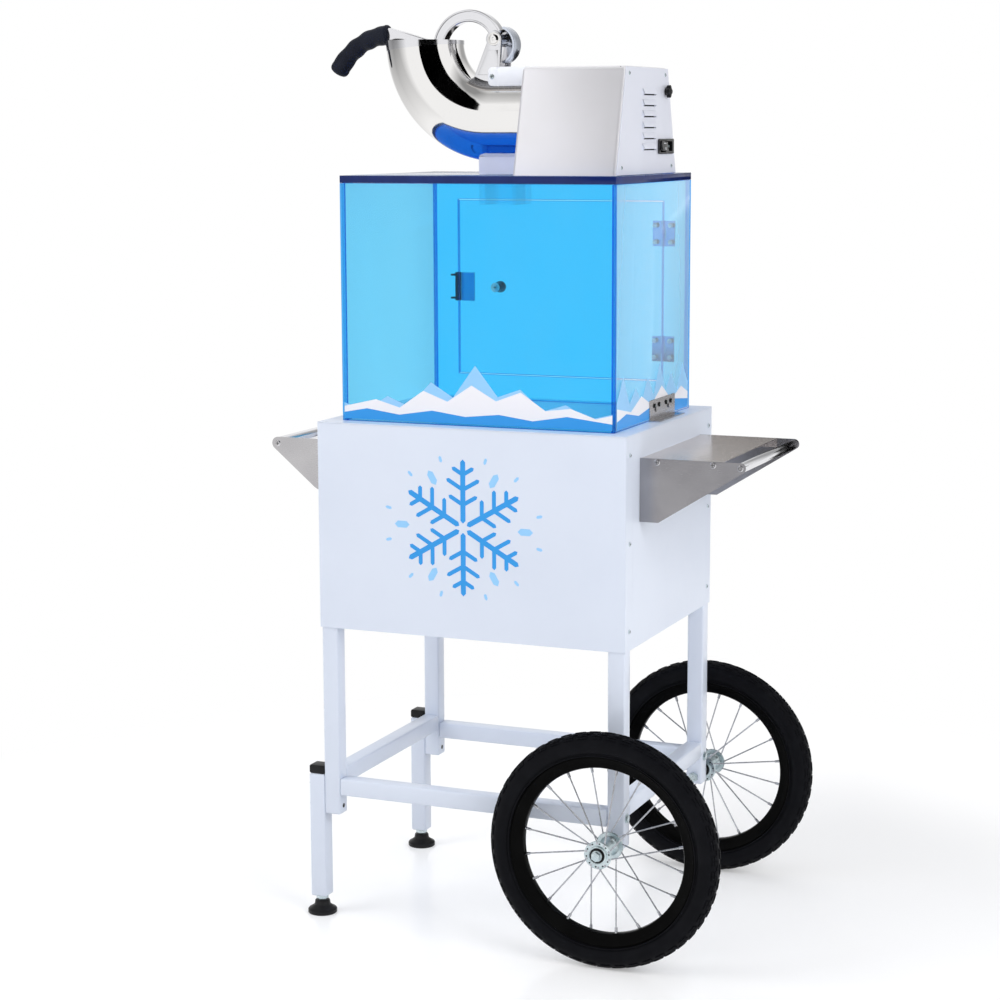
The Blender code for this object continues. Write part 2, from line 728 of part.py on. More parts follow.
def build_shelf(cart):
    """Side shelf: two brackets, a folded sheet between them and a bar."""
    bar_z = CABINET_TOP - SHELF_BAR_DROP
    end_radius = SHELF_BAR_RADIUS + SHELF_END_MARGIN
    top = bar_z + end_radius
    sheet_end = SHELF_ARM - SHELF_BAR_RADIUS - SHELF_SLOT
    outline = bracket_outline(
        1, SHELF_ARM, bar_z, end_radius, SHELF_TOE, SHELF_BRACKET_DROP, SHELF_BRACKET_DROP
    )
    screw_z = top - SHELF_SCREW_INSET
    screws = [
        (SHELF_ARM, bar_z),
        (SHELF_SCREW_NEAR, screw_z),
        (sheet_end - SHELF_SCREW_NEAR / 2, screw_z),
    ]
    for face, name in ((-1, "front"), (1, "back")):
        node = f"shelf_bracket_{name}"
        build_bracket(cart, node, 1, face, outline, SHELF_WIDTH, screws)
    build_bar(cart, "shelf_bar", SIDE_X + SHELF_ARM, bar_z, SHELF_BAR_RADIUS, SHELF_WIDTH)
    outer = SHELF_WIDTH / 2 - BRACKET_SHEET - GAP
    inner = outer - SHEET
    channel = [
        (-outer, top), (outer, top), (outer, top - SHELF_LIP), (inner, top - SHELF_LIP),
        (inner, top - SHEET), (-inner, top - SHEET), (-inner, top - SHELF_LIP),
        (-outer, top - SHELF_LIP),
    ]
    bm = bmesh.new()
    start = SIDE_X + 2 * GAP + BRACKET_SHEET
    prism(bm, channel, "X", start, SIDE_X + sheet_end)
    add_piece("shelf_sheet", bm, STAINLESS, parent=cart)


def build_wheel(cart, side, name):
    """Stub axle, spoked wheel and tyre."""
    hub = bpy.data.objects.new(f"wheel_{name}_axis", None)
    bpy.context.scene.collection.objects.link(hub)
    hub.location = (LEG_X, side * WHEEL_Y, AXLE_Z)
    hub.parent = cart
    build_axle(cart, side, name)
    bm = bmesh.new()
    rim_outer = TYRE_SEAT_RADIUS - GAP
    rim_inner = TYRE_SEAT_RADIUS - RIM_DEPTH
    rim = [
        (rim_outer, -RIM_HALF_WIDTH),
        (rim_outer, RIM_HALF_WIDTH),
        (rim_inner, RIM_CROWN_HALF_WIDTH),
        (rim_inner, -RIM_CROWN_HALF_WIDTH),
    ]
    turned(bm, rim, "Y", steps=WHEEL_STEPS)
    turned(bm, hub_profile(), "Y", steps=20)
    wheel = add_piece(f"wheel_{name}", bm, ZINC, parent=hub, smooth=True)
    weld(wheel, spoke_shapes(side), "spokes")
    tyre = bmesh.new()
    turned(tyre, tyre_profile(), "Y", steps=WHEEL_STEPS)
    add_piece(f"tyre_{name}", tyre, BLACK_RUBBER, parent=hub, smooth=True)


def hub_profile():
    """Half section of the hub: barrel, two flanges and two bearing ends."""
    bore = AXLE_RADIUS + GAP
    end = HUB_HALF_LENGTH
    outer = end - HUB_FLANGE_INSET
    inner = outer - HUB_FLANGE
    upper = [
        (HUB_BARREL_RADIUS, inner),
        (HUB_FLANGE_RADIUS, inner),
        (HUB_FLANGE_RADIUS, outer),
        (HUB_END_RADIUS, outer),
        (HUB_END_RADIUS, end),
        (bore, end),
    ]
    return upper + [(radius, -height) for radius, height in reversed(upper)]


def tyre_profile():
    """Section of the tyre, open towards the rim seat."""
    middle = WHEEL_RADIUS - TYRE_SECTION
    ratio = (TYRE_SEAT_RADIUS - middle) / TYRE_SECTION
    end = math.acos(max(-1.0, min(1.0, ratio)))
    return arc((middle, 0), TYRE_SECTION, end, -end, 10)


def spoke_shapes(side):
    """Spokes from both hub flanges to the rim, leaning opposite ways."""
    bm = bmesh.new()
    root = HUB_FLANGE_RADIUS - 3 * SPOKE_RADIUS
    tip = TYRE_SEAT_RADIUS - RIM_DEPTH / 2
    plane = HUB_HALF_LENGTH - HUB_FLANGE_INSET - HUB_FLANGE / 2
    for index in range(SPOKES):
        flange = 1 if index % 2 else -1
        at_rim = 2 * math.pi * (index + 0.5) / SPOKES
        at_hub = at_rim - flange * side * SPOKE_LEAN
        start = (root * math.cos(at_hub), flange * plane, root * math.sin(at_hub))
        end = (tip * math.cos(at_rim), 0, tip * math.sin(at_rim))
        rod(bm, start, end, SPOKE_RADIUS, 6)
    return bm


def build_axle(cart, side, name):
    """Stub axle: head, shaft, collar against the leg and nut inside the leg."""
    hub_out = HUB_HALF_LENGTH + GAP
    leg_out = -HUB_HALF_LENGTH - AXLE_COLLAR + GAP
    leg_in = leg_out - LEG - 2 * GAP
    profile = [
        (0, hub_out + AXLE_HEAD),
        (AXLE_HEAD_RADIUS, hub_out + AXLE_HEAD),
        (AXLE_HEAD_RADIUS, hub_out),
        (AXLE_RADIUS, hub_out),
        (AXLE_RADIUS, -HUB_HALF_LENGTH - GAP),
        (AXLE_COLLAR_RADIUS, -HUB_HALF_LENGTH - GAP),
        (AXLE_COLLAR_RADIUS, leg_out),
        (AXLE_RADIUS, leg_out),
        (AXLE_RADIUS, leg_in),
        (AXLE_NUT_RADIUS, leg_in),
        (AXLE_NUT_RADIUS, leg_in - AXLE_NUT),
        (0, leg_in - AXLE_NUT),
    ]
    bm = bmesh.new()
    turned(bm, [(radius, side * height) for radius, height in profile], "Y", steps=16)
    place = (LEG_X, side * WHEEL_Y, AXLE_Z)
    add_piece(f"axle_{name}", bm, ZINC, place, cart, smooth=True)


def build_case(cart):
    """Four clear walls, the lid and the steel bracket that holds the case."""
    low = CABINET_TOP + GAP
    high = CASE_TOP - LID - GAP
    bm = bmesh.new()
    box(bm, (-CASE_X, -CASE_Y, low), (CASE_X, -CASE_Y + ACRYLIC, high))
    add_piece("case_front", bm, BLUE_ACRYLIC, parent=cart)
    end = CASE_Y - ACRYLIC - GAP
    for side, name in ((-1, "left"), (1, "right")):
        faces = sorted((side * CASE_X, side * (CASE_X - ACRYLIC)))
        bm = bmesh.new()
        box(bm, (faces[0], -end, low), (faces[1], end, high))
        add_piece(f"case_{name}", bm, BLUE_ACRYLIC, parent=cart)
    bm = bmesh.new()
    box(bm, (-CASE_X, CASE_Y - ACRYLIC, low), (CASE_X, CASE_Y, high))
    back = add_piece("case_back", bm, BLUE_ACRYLIC, parent=cart)
    window = bmesh.new()
    reach = DOOR_LENGTH / 2 + DOOR_CLEARANCE
    rise = DOOR_HEIGHT / 2 + DOOR_CLEARANCE
    start = (-reach, CASE_Y - ACRYLIC - OVERLAP, DOOR_Z - rise)
    box(window, start, (reach, CASE_Y + OVERLAP, DOOR_Z + rise))
    cut(back, window, "window")
    build_lid(cart)
    build_case_bracket(cart)


def outlet_box(bm, low, high, margin_x=0.0, margin_y=0.0):
    """Add the ice outlet's shape between two heights."""
    start = (OUTLET_X - margin_x, -OUTLET_WIDTH / 2 - margin_y, low)
    end = (OUTLET_X + OUTLET_LENGTH + margin_x, OUTLET_WIDTH / 2 + margin_y, high)
    box(bm, start, end)


def build_lid(cart):
    """Lid of the case with the ice outlet, and the chute under it."""
    low = CASE_TOP - LID
    bm = bmesh.new()
    box(bm, (-CASE_X, -CASE_Y, low), (CASE_X, CASE_Y, CASE_TOP))
    lid = add_piece("case_lid", bm, BLUE_ACRYLIC, parent=cart)
    hole = bmesh.new()
    outlet_box(hole, low - OVERLAP, CASE_TOP + OVERLAP)
    cut(lid, hole, "outlet")
    bm = bmesh.new()
    outlet_box(bm, low - CHUTE_DROP, low - GAP, CHUTE_WALL, CHUTE_SIDE_WALL)
    chute = add_piece("ice_chute", bm, BLUE_ACRYLIC, parent=cart)
    bore = bmesh.new()
    outlet_box(bore, low - CHUTE_DROP - OVERLAP, low + OVERLAP)
    cut(chute, bore, "bore")


def build_case_bracket(cart):
    """Angle bracket that holds the case down on the cabinet."""
    start = CASE_X + GAP
    low = CABINET_TOP + GAP
    outline = [
        (start, low),
        (start + CASE_BRACKET_FOOT, low),
        (start + CASE_BRACKET_FOOT, low + SHEET),
        (start + SHEET, low + SHEET),
        (start + SHEET, low + CASE_BRACKET_HEIGHT),
        (start, low + CASE_BRACKET_HEIGHT),
    ]
    bm = bmesh.new()
    half = CASE_BRACKET_LENGTH / 2
    prism(bm, outline, "Y", CASE_BRACKET_SHIFT - half, CASE_BRACKET_SHIFT + half)
    bracket = add_piece("case_bracket", bm, STAINLESS, parent=cart)
    heads = bmesh.new()
    for side in (-1, 1):
        place = CASE_BRACKET_SHIFT + side * half / 2
        height = low + CASE_BRACKET_HEIGHT / 2
        tip = (start + SHEET + BRACKET_SCREW_HEAD, place, height)
        rod(heads, (start + SHEET / 2, place, height), tip, BRACKET_SCREW_RADIUS)
    weld(bracket, heads, "screws")


def build_door(cart):
    """Rear door on two hinges, with its knob, strike plate and catch."""
    axis = bpy.data.objects.new("door_axis", None)
    bpy.context.scene.collection.objects.link(axis)
    axis.location = (HINGE_X, HINGE_Y, DOOR_Z)
    axis.parent = cart
    near = -DOOR_CLEARANCE / 2
    inner = CASE_Y - ACRYLIC - HINGE_Y
    outer = CASE_Y - HINGE_Y
    bm = bmesh.new()
    low = (near - DOOR_LENGTH, inner, -DOOR_HEIGHT / 2)
    box(bm, low, (near, outer, DOOR_HEIGHT / 2))
    door = add_piece("door", bm, BLUE_ACRYLIC, parent=axis)
    knob_x = near - DOOR_LENGTH + KNOB_INSET
    hole = bmesh.new()
    start = (knob_x, inner - OVERLAP, 0)
    rod(hole, start, (knob_x, outer + OVERLAP, 0), KNOB_SCREW_RADIUS + GAP, 12)
    cut(door, hole, "knob_hole")
    build_knob(axis, knob_x, inner, outer)
    build_catch(cart, axis, near - DOOR_LENGTH, outer)
    for side, name in ((1, "upper"), (-1, "lower")):
        height = side * (DOOR_HEIGHT / 2 - HINGE_INSET)
        build_hinge(cart, axis, name, height)


def build_knob(axis, knob_x, inner, outer):
    """Round pull knob, its screw through the door and its inside washer."""
    seat = outer + GAP
    under = inner - GAP
    profile = [
        (0, seat + KNOB_LENGTH),
        (KNOB_RADIUS * 0.8, seat + KNOB_LENGTH),
        (KNOB_RADIUS, seat + KNOB_LENGTH * 0.85),
        (KNOB_RADIUS, seat + KNOB_LENGTH * 0.6),
        (KNOB_NECK_RADIUS, seat + KNOB_LENGTH * 0.35),
        (KNOB_NECK_RADIUS * 1.3, seat),
        (KNOB_SCREW_RADIUS, seat),
        (KNOB_SCREW_RADIUS, under),
        (KNOB_WASHER_RADIUS, under),
        (KNOB_WASHER_RADIUS, under - KNOB_WASHER),
        (0, under - KNOB_WASHER),
    ]
    bm = bmesh.new()
    turned(bm, profile, "Y", steps=16)
    add_piece("door_knob", bm, BLUE_ACRYLIC, (knob_x, 0, 0), axis, smooth=True)


def build_catch(cart, axis, edge, outer):
    """Magnetic catch on the wall and its strike plate on the door."""
    half = CATCH_HEIGHT / 2
    bm = bmesh.new()
    low = (edge + OVERLAP, outer + GAP, -half)
    box(bm, low, (edge + OVERLAP + STRIKE_LENGTH, outer + GAP + STRIKE_DEPTH, half))
    add_piece("door_strike", bm, STAINLESS, parent=axis)
    wall = HINGE_X + edge - DOOR_CLEARANCE
    bm = bmesh.new()
    low = (wall - CATCH_LENGTH, CASE_Y + GAP, DOOR_Z - half)
    box(bm, low, (wall, CASE_Y + GAP + CATCH_DEPTH, DOOR_Z + half))
    add_piece("door_catch", bm, STAINLESS, parent=cart)


def hinge_plate(bm, side, low, high, barrels):
    """Add one hinge leaf with tabs to its barrels."""
    inner = -HINGE_KNUCKLE_RADIUS
    outer = inner + HINGE_SHEET
    start = HINGE_KNUCKLE_RADIUS + HINGE_PART
    ends = sorted((side * start, side * (start + HINGE_LEAF)))
    box(bm, (ends[0], inner, low), (ends[1], outer, high))
    tabs = bmesh.new()
    for bottom, top in barrels:
        tab = sorted((0, side * (start + HINGE_LEAF / 3)))
        box(tabs, (tab[0], inner, bottom), (tab[1], outer, top))
    return tabs


def build_hinge(cart, axis, name, height):
    """Butt hinge: a fixed leaf with two barrels and the pin, and a door leaf."""
    half = HINGE_HEIGHT / 2
    third = HINGE_HEIGHT / 6
    bm = bmesh.new()
    place = (HINGE_X, HINGE_Y, DOOR_Z + height)
    tabs = hinge_plate(bm, 1, -half, half, ((-half, -third - GAP), (third + GAP, half)))
    fixed = add_piece(f"hinge_{name}_fixed", bm, STAINLESS, place, cart)
    weld(fixed, tabs, "tabs")
    barrels = bmesh.new()
    rod(barrels, (0, 0, -half), (0, 0, -third - GAP), HINGE_KNUCKLE_RADIUS, 12)
    rod(barrels, (0, 0, third + GAP), (0, 0, half), HINGE_KNUCKLE_RADIUS, 12)
    weld(fixed, barrels, "barrels")
    pin = bmesh.new()
    rod(pin, (0, 0, -half + OVERLAP), (0, 0, half - OVERLAP), HINGE_PIN_RADIUS, 10)
    weld(fixed, pin, "pin")
    bm = bmesh.new()
    tabs = hinge_plate(bm, -1, -half, half, ((-third, third),))
    leaf = add_piece(f"hinge_{name}_leaf", bm, STAINLESS, (0, 0, height), axis)
    weld(leaf, tabs, "tabs")
    barrel = bmesh.new()
    rod(barrel, (0, 0, -third), (0, 0, third), HINGE_KNUCKLE_RADIUS, 12)
    weld(leaf, barrel, "barrel")
    bore = bmesh.new()
    rod(bore, (0, 0, -third - OVERLAP), (0, 0, third + OVERLAP), HINGE_PIN_RADIUS + GAP, 10)
    cut(leaf, bore, "bore")


def bend_shape(bm, radii):
    """Elbow with its mouth up, a quarter bend and a straight run to the housing."""
    centre = Vector((HOPPER_X, 0, PIVOT_Z))
    loops = []
    for radius in radii:
        loop = []
        for side in range(HOPPER_SIDES):
            angle = 2 * math.pi * side / HOPPER_SIDES
            offset = (radius * math.cos(angle) - BEND_RADIUS, radius * math.sin(angle), 0)
            loop.append(bm.verts.new(centre + Vector(offset)))
        loops.append(loop)
    if len(loops) == 1:
        faces = [bm.faces.new(loops[0])]
    else:
        outer, inner = loops
        faces = []
        for side in range(HOPPER_SIDES):
            after = (side + 1) % HOPPER_SIDES
            corners = (outer[side], outer[after], inner[after], inner[side])
            faces.append(bm.faces.new(corners))
    swept = bmesh.ops.spin(
        bm, geom=bm.verts[:] + bm.edges[:] + faces, cent=centre, axis=(0, -1, 0),
        angle=math.pi / 2, steps=BEND_STEPS,
    )
    grown = bmesh.ops.extrude_face_region(bm, geom=swept["geom_last"])
    verts = [part for part in grown["geom"] if isinstance(part, bmesh.types.BMVert)]
    bmesh.ops.translate(bm, verts=verts, vec=(HOUSING_OFFSET - GAP, 0, 0))


def build_hopper(cart):
    """Polished elbow that ends at the housing, with the ice outlet under it."""
    bm = bmesh.new()
    bend_shape(bm, (HOPPER_RADIUS, HOPPER_RADIUS - HOPPER_WALL))
    hopper = add_piece("hopper", bm, POLISHED, parent=cart, smooth=True)
    outlet = bmesh.new()
    outlet_box(outlet, CASE_TOP, TUBE_Z - SHAFT_RADIUS)
    cut(hopper, outlet, "outlet")


def seat_on_hopper(item):
    """Cut the elbow's outside out of a piece that sits on it."""
    bm = bmesh.new()
    bend_shape(bm, (HOPPER_RADIUS + GAP,))
    combine(item, add_tool(item.name + "_seat", bm, parent=item.parent), "DIFFERENCE")


def saddle_height(reach):
    """Height of the elbow's surface over its axis at a sideways distance."""
    return math.sqrt(HOPPER_RADIUS ** 2 - reach ** 2)


def build_neck(cart):
    """White neck between the lid and the elbow, round the ice outlet."""
    reach = OUTLET_WIDTH / 2 + NECK_SIDE_WALL
    top = TUBE_Z - saddle_height(reach)
    bm = bmesh.new()
    low = (OUTLET_X - NECK_LEFT_WALL, -reach, CASE_TOP + GAP)
    box(bm, low, (OUTLET_X + OUTLET_LENGTH + NECK_RIGHT_WALL, reach, top))
    neck = add_piece("neck", bm, WHITE_PLASTIC, parent=cart)
    seat_on_hopper(neck)
    bore = bmesh.new()
    outlet_box(bore, CASE_TOP - OVERLAP, top + OVERLAP)
    cut(neck, bore, "bore")


def build_post(cart):
    """Forked post on the elbow with the lever's pivot bolt."""
    half = POST_WIDTH / 2
    foot = -BEND_RADIUS + saddle_height(half + SEAT_SINK)
    outline = [(-POST_FOOT_LEFT, foot), (POST_FOOT_RIGHT, foot)]
    outline.append((POST_FOOT_RIGHT, -POST_SHOULDER))
    outline += arc((0, 0), POST_EYE_RADIUS, math.radians(-15), math.radians(205), 14)
    bm = bmesh.new()
    prism(bm, outline, "Y", -half, half)
    place = (HOPPER_X, 0, PIVOT_Z)
    post = add_piece("pivot_post", bm, POLISHED, place, cart)
    cam_reach = CAM_RADIUS + CAM_DROP
    slot = bmesh.new()
    side = half - POST_CHEEK
    low = (-POST_FOOT_LEFT - OVERLAP, -side, -cam_reach - CAM_CLEARANCE)
    box(slot, low, (2 * POST_EYE_RADIUS, side, 2 * POST_EYE_RADIUS))
    cut(post, slot, "slot")
    bolt = bmesh.new()
    reach = half + PIVOT_HEAD
    rod(bolt, (0, -half + OVERLAP, 0), (0, half - OVERLAP, 0), PIVOT_BOLT_RADIUS, 16)
    weld(post, bolt, "bolt")
    heads = bmesh.new()
    for end in (-1, 1):
        start = (0, end * (half - OVERLAP), 0)
        rod(heads, start, (0, end * reach, 0), PIVOT_HEAD_RADIUS, 16)
    weld(post, heads, "heads")
    seat_on_hopper(post)


def build_switch_box(cart):
    """White box on the elbow between the post and the housing."""
    half = SWITCH_BOX_DEPTH / 2
    top = TUBE_Z + HOPPER_RADIUS + SWITCH_BOX_RISE
    bottom = TUBE_Z + saddle_height(half + SEAT_SINK)
    left = HOPPER_X - SWITCH_BOX_LEFT
    bm = bmesh.new()
    box(bm, (left, -half, bottom), (HOUSING_X - GAP, half, top))
    case = add_piece("switch_box", bm, WHITE_PLASTIC, parent=cart)
    slot = bmesh.new()
    side = POST_WIDTH / 2 + GAP
    end = HOPPER_X + POST_FOOT_RIGHT + GAP
    box(slot, (left - OVERLAP, -side, bottom - OVERLAP), (end, side, top + OVERLAP))
    cut(case, slot, "slot")
    seat_on_hopper(case)
    heads = bmesh.new()
    screw_x = HOPPER_X + (POST_FOOT_RIGHT - SWITCH_BOX_LEFT) / 2
    screw_z = top - SWITCH_BOX_RISE / 2
    for face in (-1, 1):
        start = (screw_x, face * (half - OVERLAP), screw_z)
        tip = (screw_x, face * (half + SWITCH_SCREW_HEAD), screw_z)
        rod(heads, start, tip, SWITCH_SCREW_RADIUS, 10)
    weld(case, heads, "screws")


def housing_half_depth(height):
    """Half depth of the housing at a height over the lid."""
    return HOUSING_BASE_DEPTH / 2 - HOUSING_LEAN * height


def build_housing(cart):
    """Tapered motor housing, open below, with louvres and panel holes."""
    base = CASE_TOP + GAP
    slant = math.atan2((HOUSING_BASE_DEPTH - HOUSING_TOP_DEPTH) / 2, HOUSING_HEIGHT)
    outline = []
    for height in (0, HOUSING_HEIGHT):
        half = housing_half_depth(height)
        outline.append((half, base + height))
        outline.insert(0, (-half, base + height))
    bm = bmesh.new()
    prism(bm, outline, "X", HOUSING_X, HOUSING_END_X)
    housing = add_piece("motor_housing", bm, POLISHED, parent=cart)
    inside = []
    for height in (-OVERLAP, HOUSING_HEIGHT - HOUSING_WALL):
        half = housing_half_depth(height) - HOUSING_WALL / math.cos(slant)
        inside.append((half, base + height))
        inside.insert(0, (-half, base + height))
    hollow = bmesh.new()
    prism(hollow, inside, "X", HOUSING_X + HOUSING_WALL, HOUSING_END_X - HOUSING_WALL)
    cut(housing, hollow, "hollow")
    cut(housing, housing_holes(), "holes")
    hoods = bmesh.new()
    for index in range(LOUVRES):
        height = CASE_TOP + LOUVRE_RISE + LOUVRE_PITCH * index
        back = HOUSING_END_X - HOUSING_WALL / 2
        front = HOUSING_END_X + LOUVRE_DEPTH
        hood = [
            (back, height + LOUVRE_HOOD),
            (HOUSING_END_X, height + LOUVRE_HOOD),
            (front, height + LOUVRE_SLOT / 2),
            (front - HOUSING_WALL / 2, height + LOUVRE_SLOT / 2),
            (back, height + LOUVRE_HOOD - HOUSING_WALL),
        ]
        start = LOUVRE_SHIFT - LOUVRE_LENGTH / 2
        prism(hoods, hood, "Y", start, start + LOUVRE_LENGTH)
    weld(housing, hoods, "hoods")


def housing_holes():
    """Holes of the housing: shaft, louvre slots, inlet opening and clamp stem."""
    bm = bmesh.new()
    reach = 2 * HOUSING_WALL
    start = (HOUSING_X - reach, 0, TUBE_Z)
    rod(bm, start, (HOUSING_X + reach, 0, TUBE_Z), SHAFT_RADIUS + GAP, 20)
    for index in range(LOUVRES):
        height = CASE_TOP + LOUVRE_RISE + LOUVRE_PITCH * index
        half = LOUVRE_LENGTH / 2 - HOUSING_WALL
        low = (HOUSING_END_X - reach, LOUVRE_SHIFT - half, height)
        high = (HOUSING_END_X + reach, LOUVRE_SHIFT + half, height + LOUVRE_SLOT)
        box(bm, low, high)
    half_y = INLET_LENGTH / 2 - INLET_LIP + GAP
    half_z = INLET_HEIGHT / 2 - INLET_LIP + GAP
    inlet_z = CASE_TOP + INLET_RISE
    low = (HOUSING_END_X - reach, INLET_SHIFT - half_y, inlet_z - half_z)
    box(bm, low, (HOUSING_END_X + reach, INLET_SHIFT + half_y, inlet_z + half_z))
    start = (HOUSING_END_X - reach, CLAMP_SHIFT, CASE_TOP + CLAMP_RISE)
    end = (HOUSING_END_X + reach, CLAMP_SHIFT, CASE_TOP + CLAMP_RISE)
    rod(bm, start, end, CLAMP_STEM_RADIUS + GAP, 12)
    return bm


def build_motor(cart):
    """Motor flanged to the housing's left wall."""
    start = HOUSING_X + HOUSING_WALL + GAP
    bore = SHAFT_RADIUS + GAP
    profile = [
        (0, SHAFT_GRIP + GAP),
        (bore, SHAFT_GRIP + GAP),
        (bore, 0),
        (MOTOR_RADIUS, 0),
        (MOTOR_RADIUS, MOTOR_LENGTH - MOTOR_END),
        (MOTOR_END_RADIUS, MOTOR_LENGTH),
        (0, MOTOR_LENGTH),
    ]
    bm = bmesh.new()
    turned(bm, profile, "X", steps=24)
    add_piece("motor", bm, CAST_GREY, (start, 0, TUBE_Z), cart, smooth=True)


def build_cutter(cart):
    """Bladed cutter disc on the motor shaft, turning about the elbow's axis."""
    end = HOUSING_X + HOUSING_WALL + GAP + SHAFT_GRIP - CUTTER_X
    profile = [
        (0, -CUTTER_DISC),
        (CUTTER_RADIUS, -CUTTER_DISC),
        (CUTTER_RADIUS, 0),
        (SHAFT_RADIUS, 0),
        (SHAFT_RADIUS, end),
        (0, end),
    ]
    bm = bmesh.new()
    turned(bm, profile, "X", steps=28)
    cutter = add_piece("cutter", bm, STAINLESS, (CUTTER_X, 0, TUBE_Z), cart, smooth=True)
    slots = bmesh.new()
    blades = bmesh.new()
    for index in range(CUTTER_BLADES):
        turn = Matrix.Rotation(2 * math.pi * index / CUTTER_BLADES, 4, "X")
        root = SHAFT_RADIUS + CUTTER_SLOT_WIDTH / 2
        tip = CUTTER_RADIUS - CUTTER_SLOT_WIDTH / 2
        low = (-CUTTER_DISC - OVERLAP, 0, root)
        box(slots, low, (OVERLAP, CUTTER_SLOT_WIDTH, tip))
        slots.verts.ensure_lookup_table()
        bmesh.ops.transform(slots, matrix=turn, verts=slots.verts[-8:])
        low = (-CUTTER_DISC - CUTTER_BLADE_HEIGHT, -CUTTER_BLADE_WIDTH, root)
        box(blades, low, (-CUTTER_DISC / 2, -GAP, tip))
        blades.verts.ensure_lookup_table()
        bmesh.ops.transform(blades, matrix=turn, verts=blades.verts[-8:])
    cut(cutter, slots, "slots")
    weld(cutter, blades, "blades")


def build_inlet(cart):
    """Power inlet with its socket, and the rocker switch beside it."""
    inlet_z = CASE_TOP + INLET_RISE
    half_y = INLET_LENGTH / 2
    half_z = INLET_HEIGHT / 2
    body_y = half_y - INLET_LIP
    body_z = half_z - INLET_LIP
    bm = bmesh.new()
    box(bm, (0, -half_y, -half_z), (INLET_FLANGE, half_y, half_z))
    place = (WALL_FACE_X, INLET_SHIFT, inlet_z)
    inlet = add_piece("power_inlet", bm, BLACK_GLOSS, place, cart)
    body = bmesh.new()
    box(body, (-INLET_DEPTH, -body_y, -body_z), (INLET_FLANGE / 2, body_y, body_z))
    weld(inlet, body, "body")
    rocker_y = -body_y / 2 - GAP
    socket_y = body_y / 2 + GAP
    holes = bmesh.new()
    well = ROCKER_HALF_HEIGHT + ROCKER_SIDE_CLEARANCE
    half_rocker = ROCKER_LENGTH / 2 + GAP
    low = (-INLET_SOCKET_DEPTH, rocker_y - half_rocker, -well)
    box(holes, low, (2 * INLET_FLANGE, rocker_y + half_rocker, well))
    half_socket = INLET_SOCKET_LENGTH / 2
    low = (-INLET_SOCKET_DEPTH, socket_y - half_socket, -INLET_SOCKET_HEIGHT / 2)
    high = (2 * INLET_FLANGE, socket_y + half_socket, INLET_SOCKET_HEIGHT / 2)
    box(holes, low, high)
    cut(inlet, holes, "holes")
    prongs = bmesh.new()
    for index in (-1, 0, 1):
        middle = socket_y + index * INLET_PRONG_PITCH
        half = INLET_PRONG_WIDTH / 2
        low = (-INLET_SOCKET_DEPTH - OVERLAP, middle - half, -INLET_PRONG_HEIGHT / 2)
        box(prongs, low, (-OVERLAP, middle + half, INLET_PRONG_HEIGHT / 2))
    weld(inlet, prongs, "prongs")
    build_rocker(cart, (WALL_FACE_X, INLET_SHIFT + rocker_y, inlet_z))


def build_rocker(cart, place):
    """Rocker switch, tilted to its off side at rest."""
    half = ROCKER_HALF_HEIGHT
    outline = [
        (-ROCKER_REACH / 2, -half * 0.6),
        (ROCKER_REACH, -half),
        (ROCKER_REACH - ROCKER_DISH, 0),
        (ROCKER_REACH, half),
        (-ROCKER_REACH / 2, half * 0.6),
    ]
    bm = bmesh.new()
    prism(bm, outline, "Y", -ROCKER_LENGTH / 2, ROCKER_LENGTH / 2)
    rocker = add_piece("rocker_switch", bm, BLACK_GLOSS, place, cart)
    rocker.rotation_euler = (0, -ROCKER_TILT, 0)


def build_clamp(cart):
    """Lobed clamp knob with its threaded stem through the housing."""
    outline = []
    steps = 32
    for step in range(steps):
        angle = 2 * math.pi * step / steps
        radius = CLAMP_RADIUS - CLAMP_LOBE_DEPTH * (1 - math.cos(CLAMP_LOBES * angle)) / 2
        outline.append((radius * math.cos(angle), radius * math.sin(angle)))
    bm = bmesh.new()
    prism(bm, outline, "X", 0, CLAMP_THICKNESS)
    place = (WALL_FACE_X, CLAMP_SHIFT, CASE_TOP + CLAMP_RISE)
    knob = add_piece("clamp_knob", bm, BLACK_PLASTIC, place, cart)
    stem = bmesh.new()
    rod(stem, (-CLAMP_STEM, 0, 0), (OVERLAP, 0, 0), CLAMP_STEM_RADIUS, 12)
    weld(knob, stem, "stem")


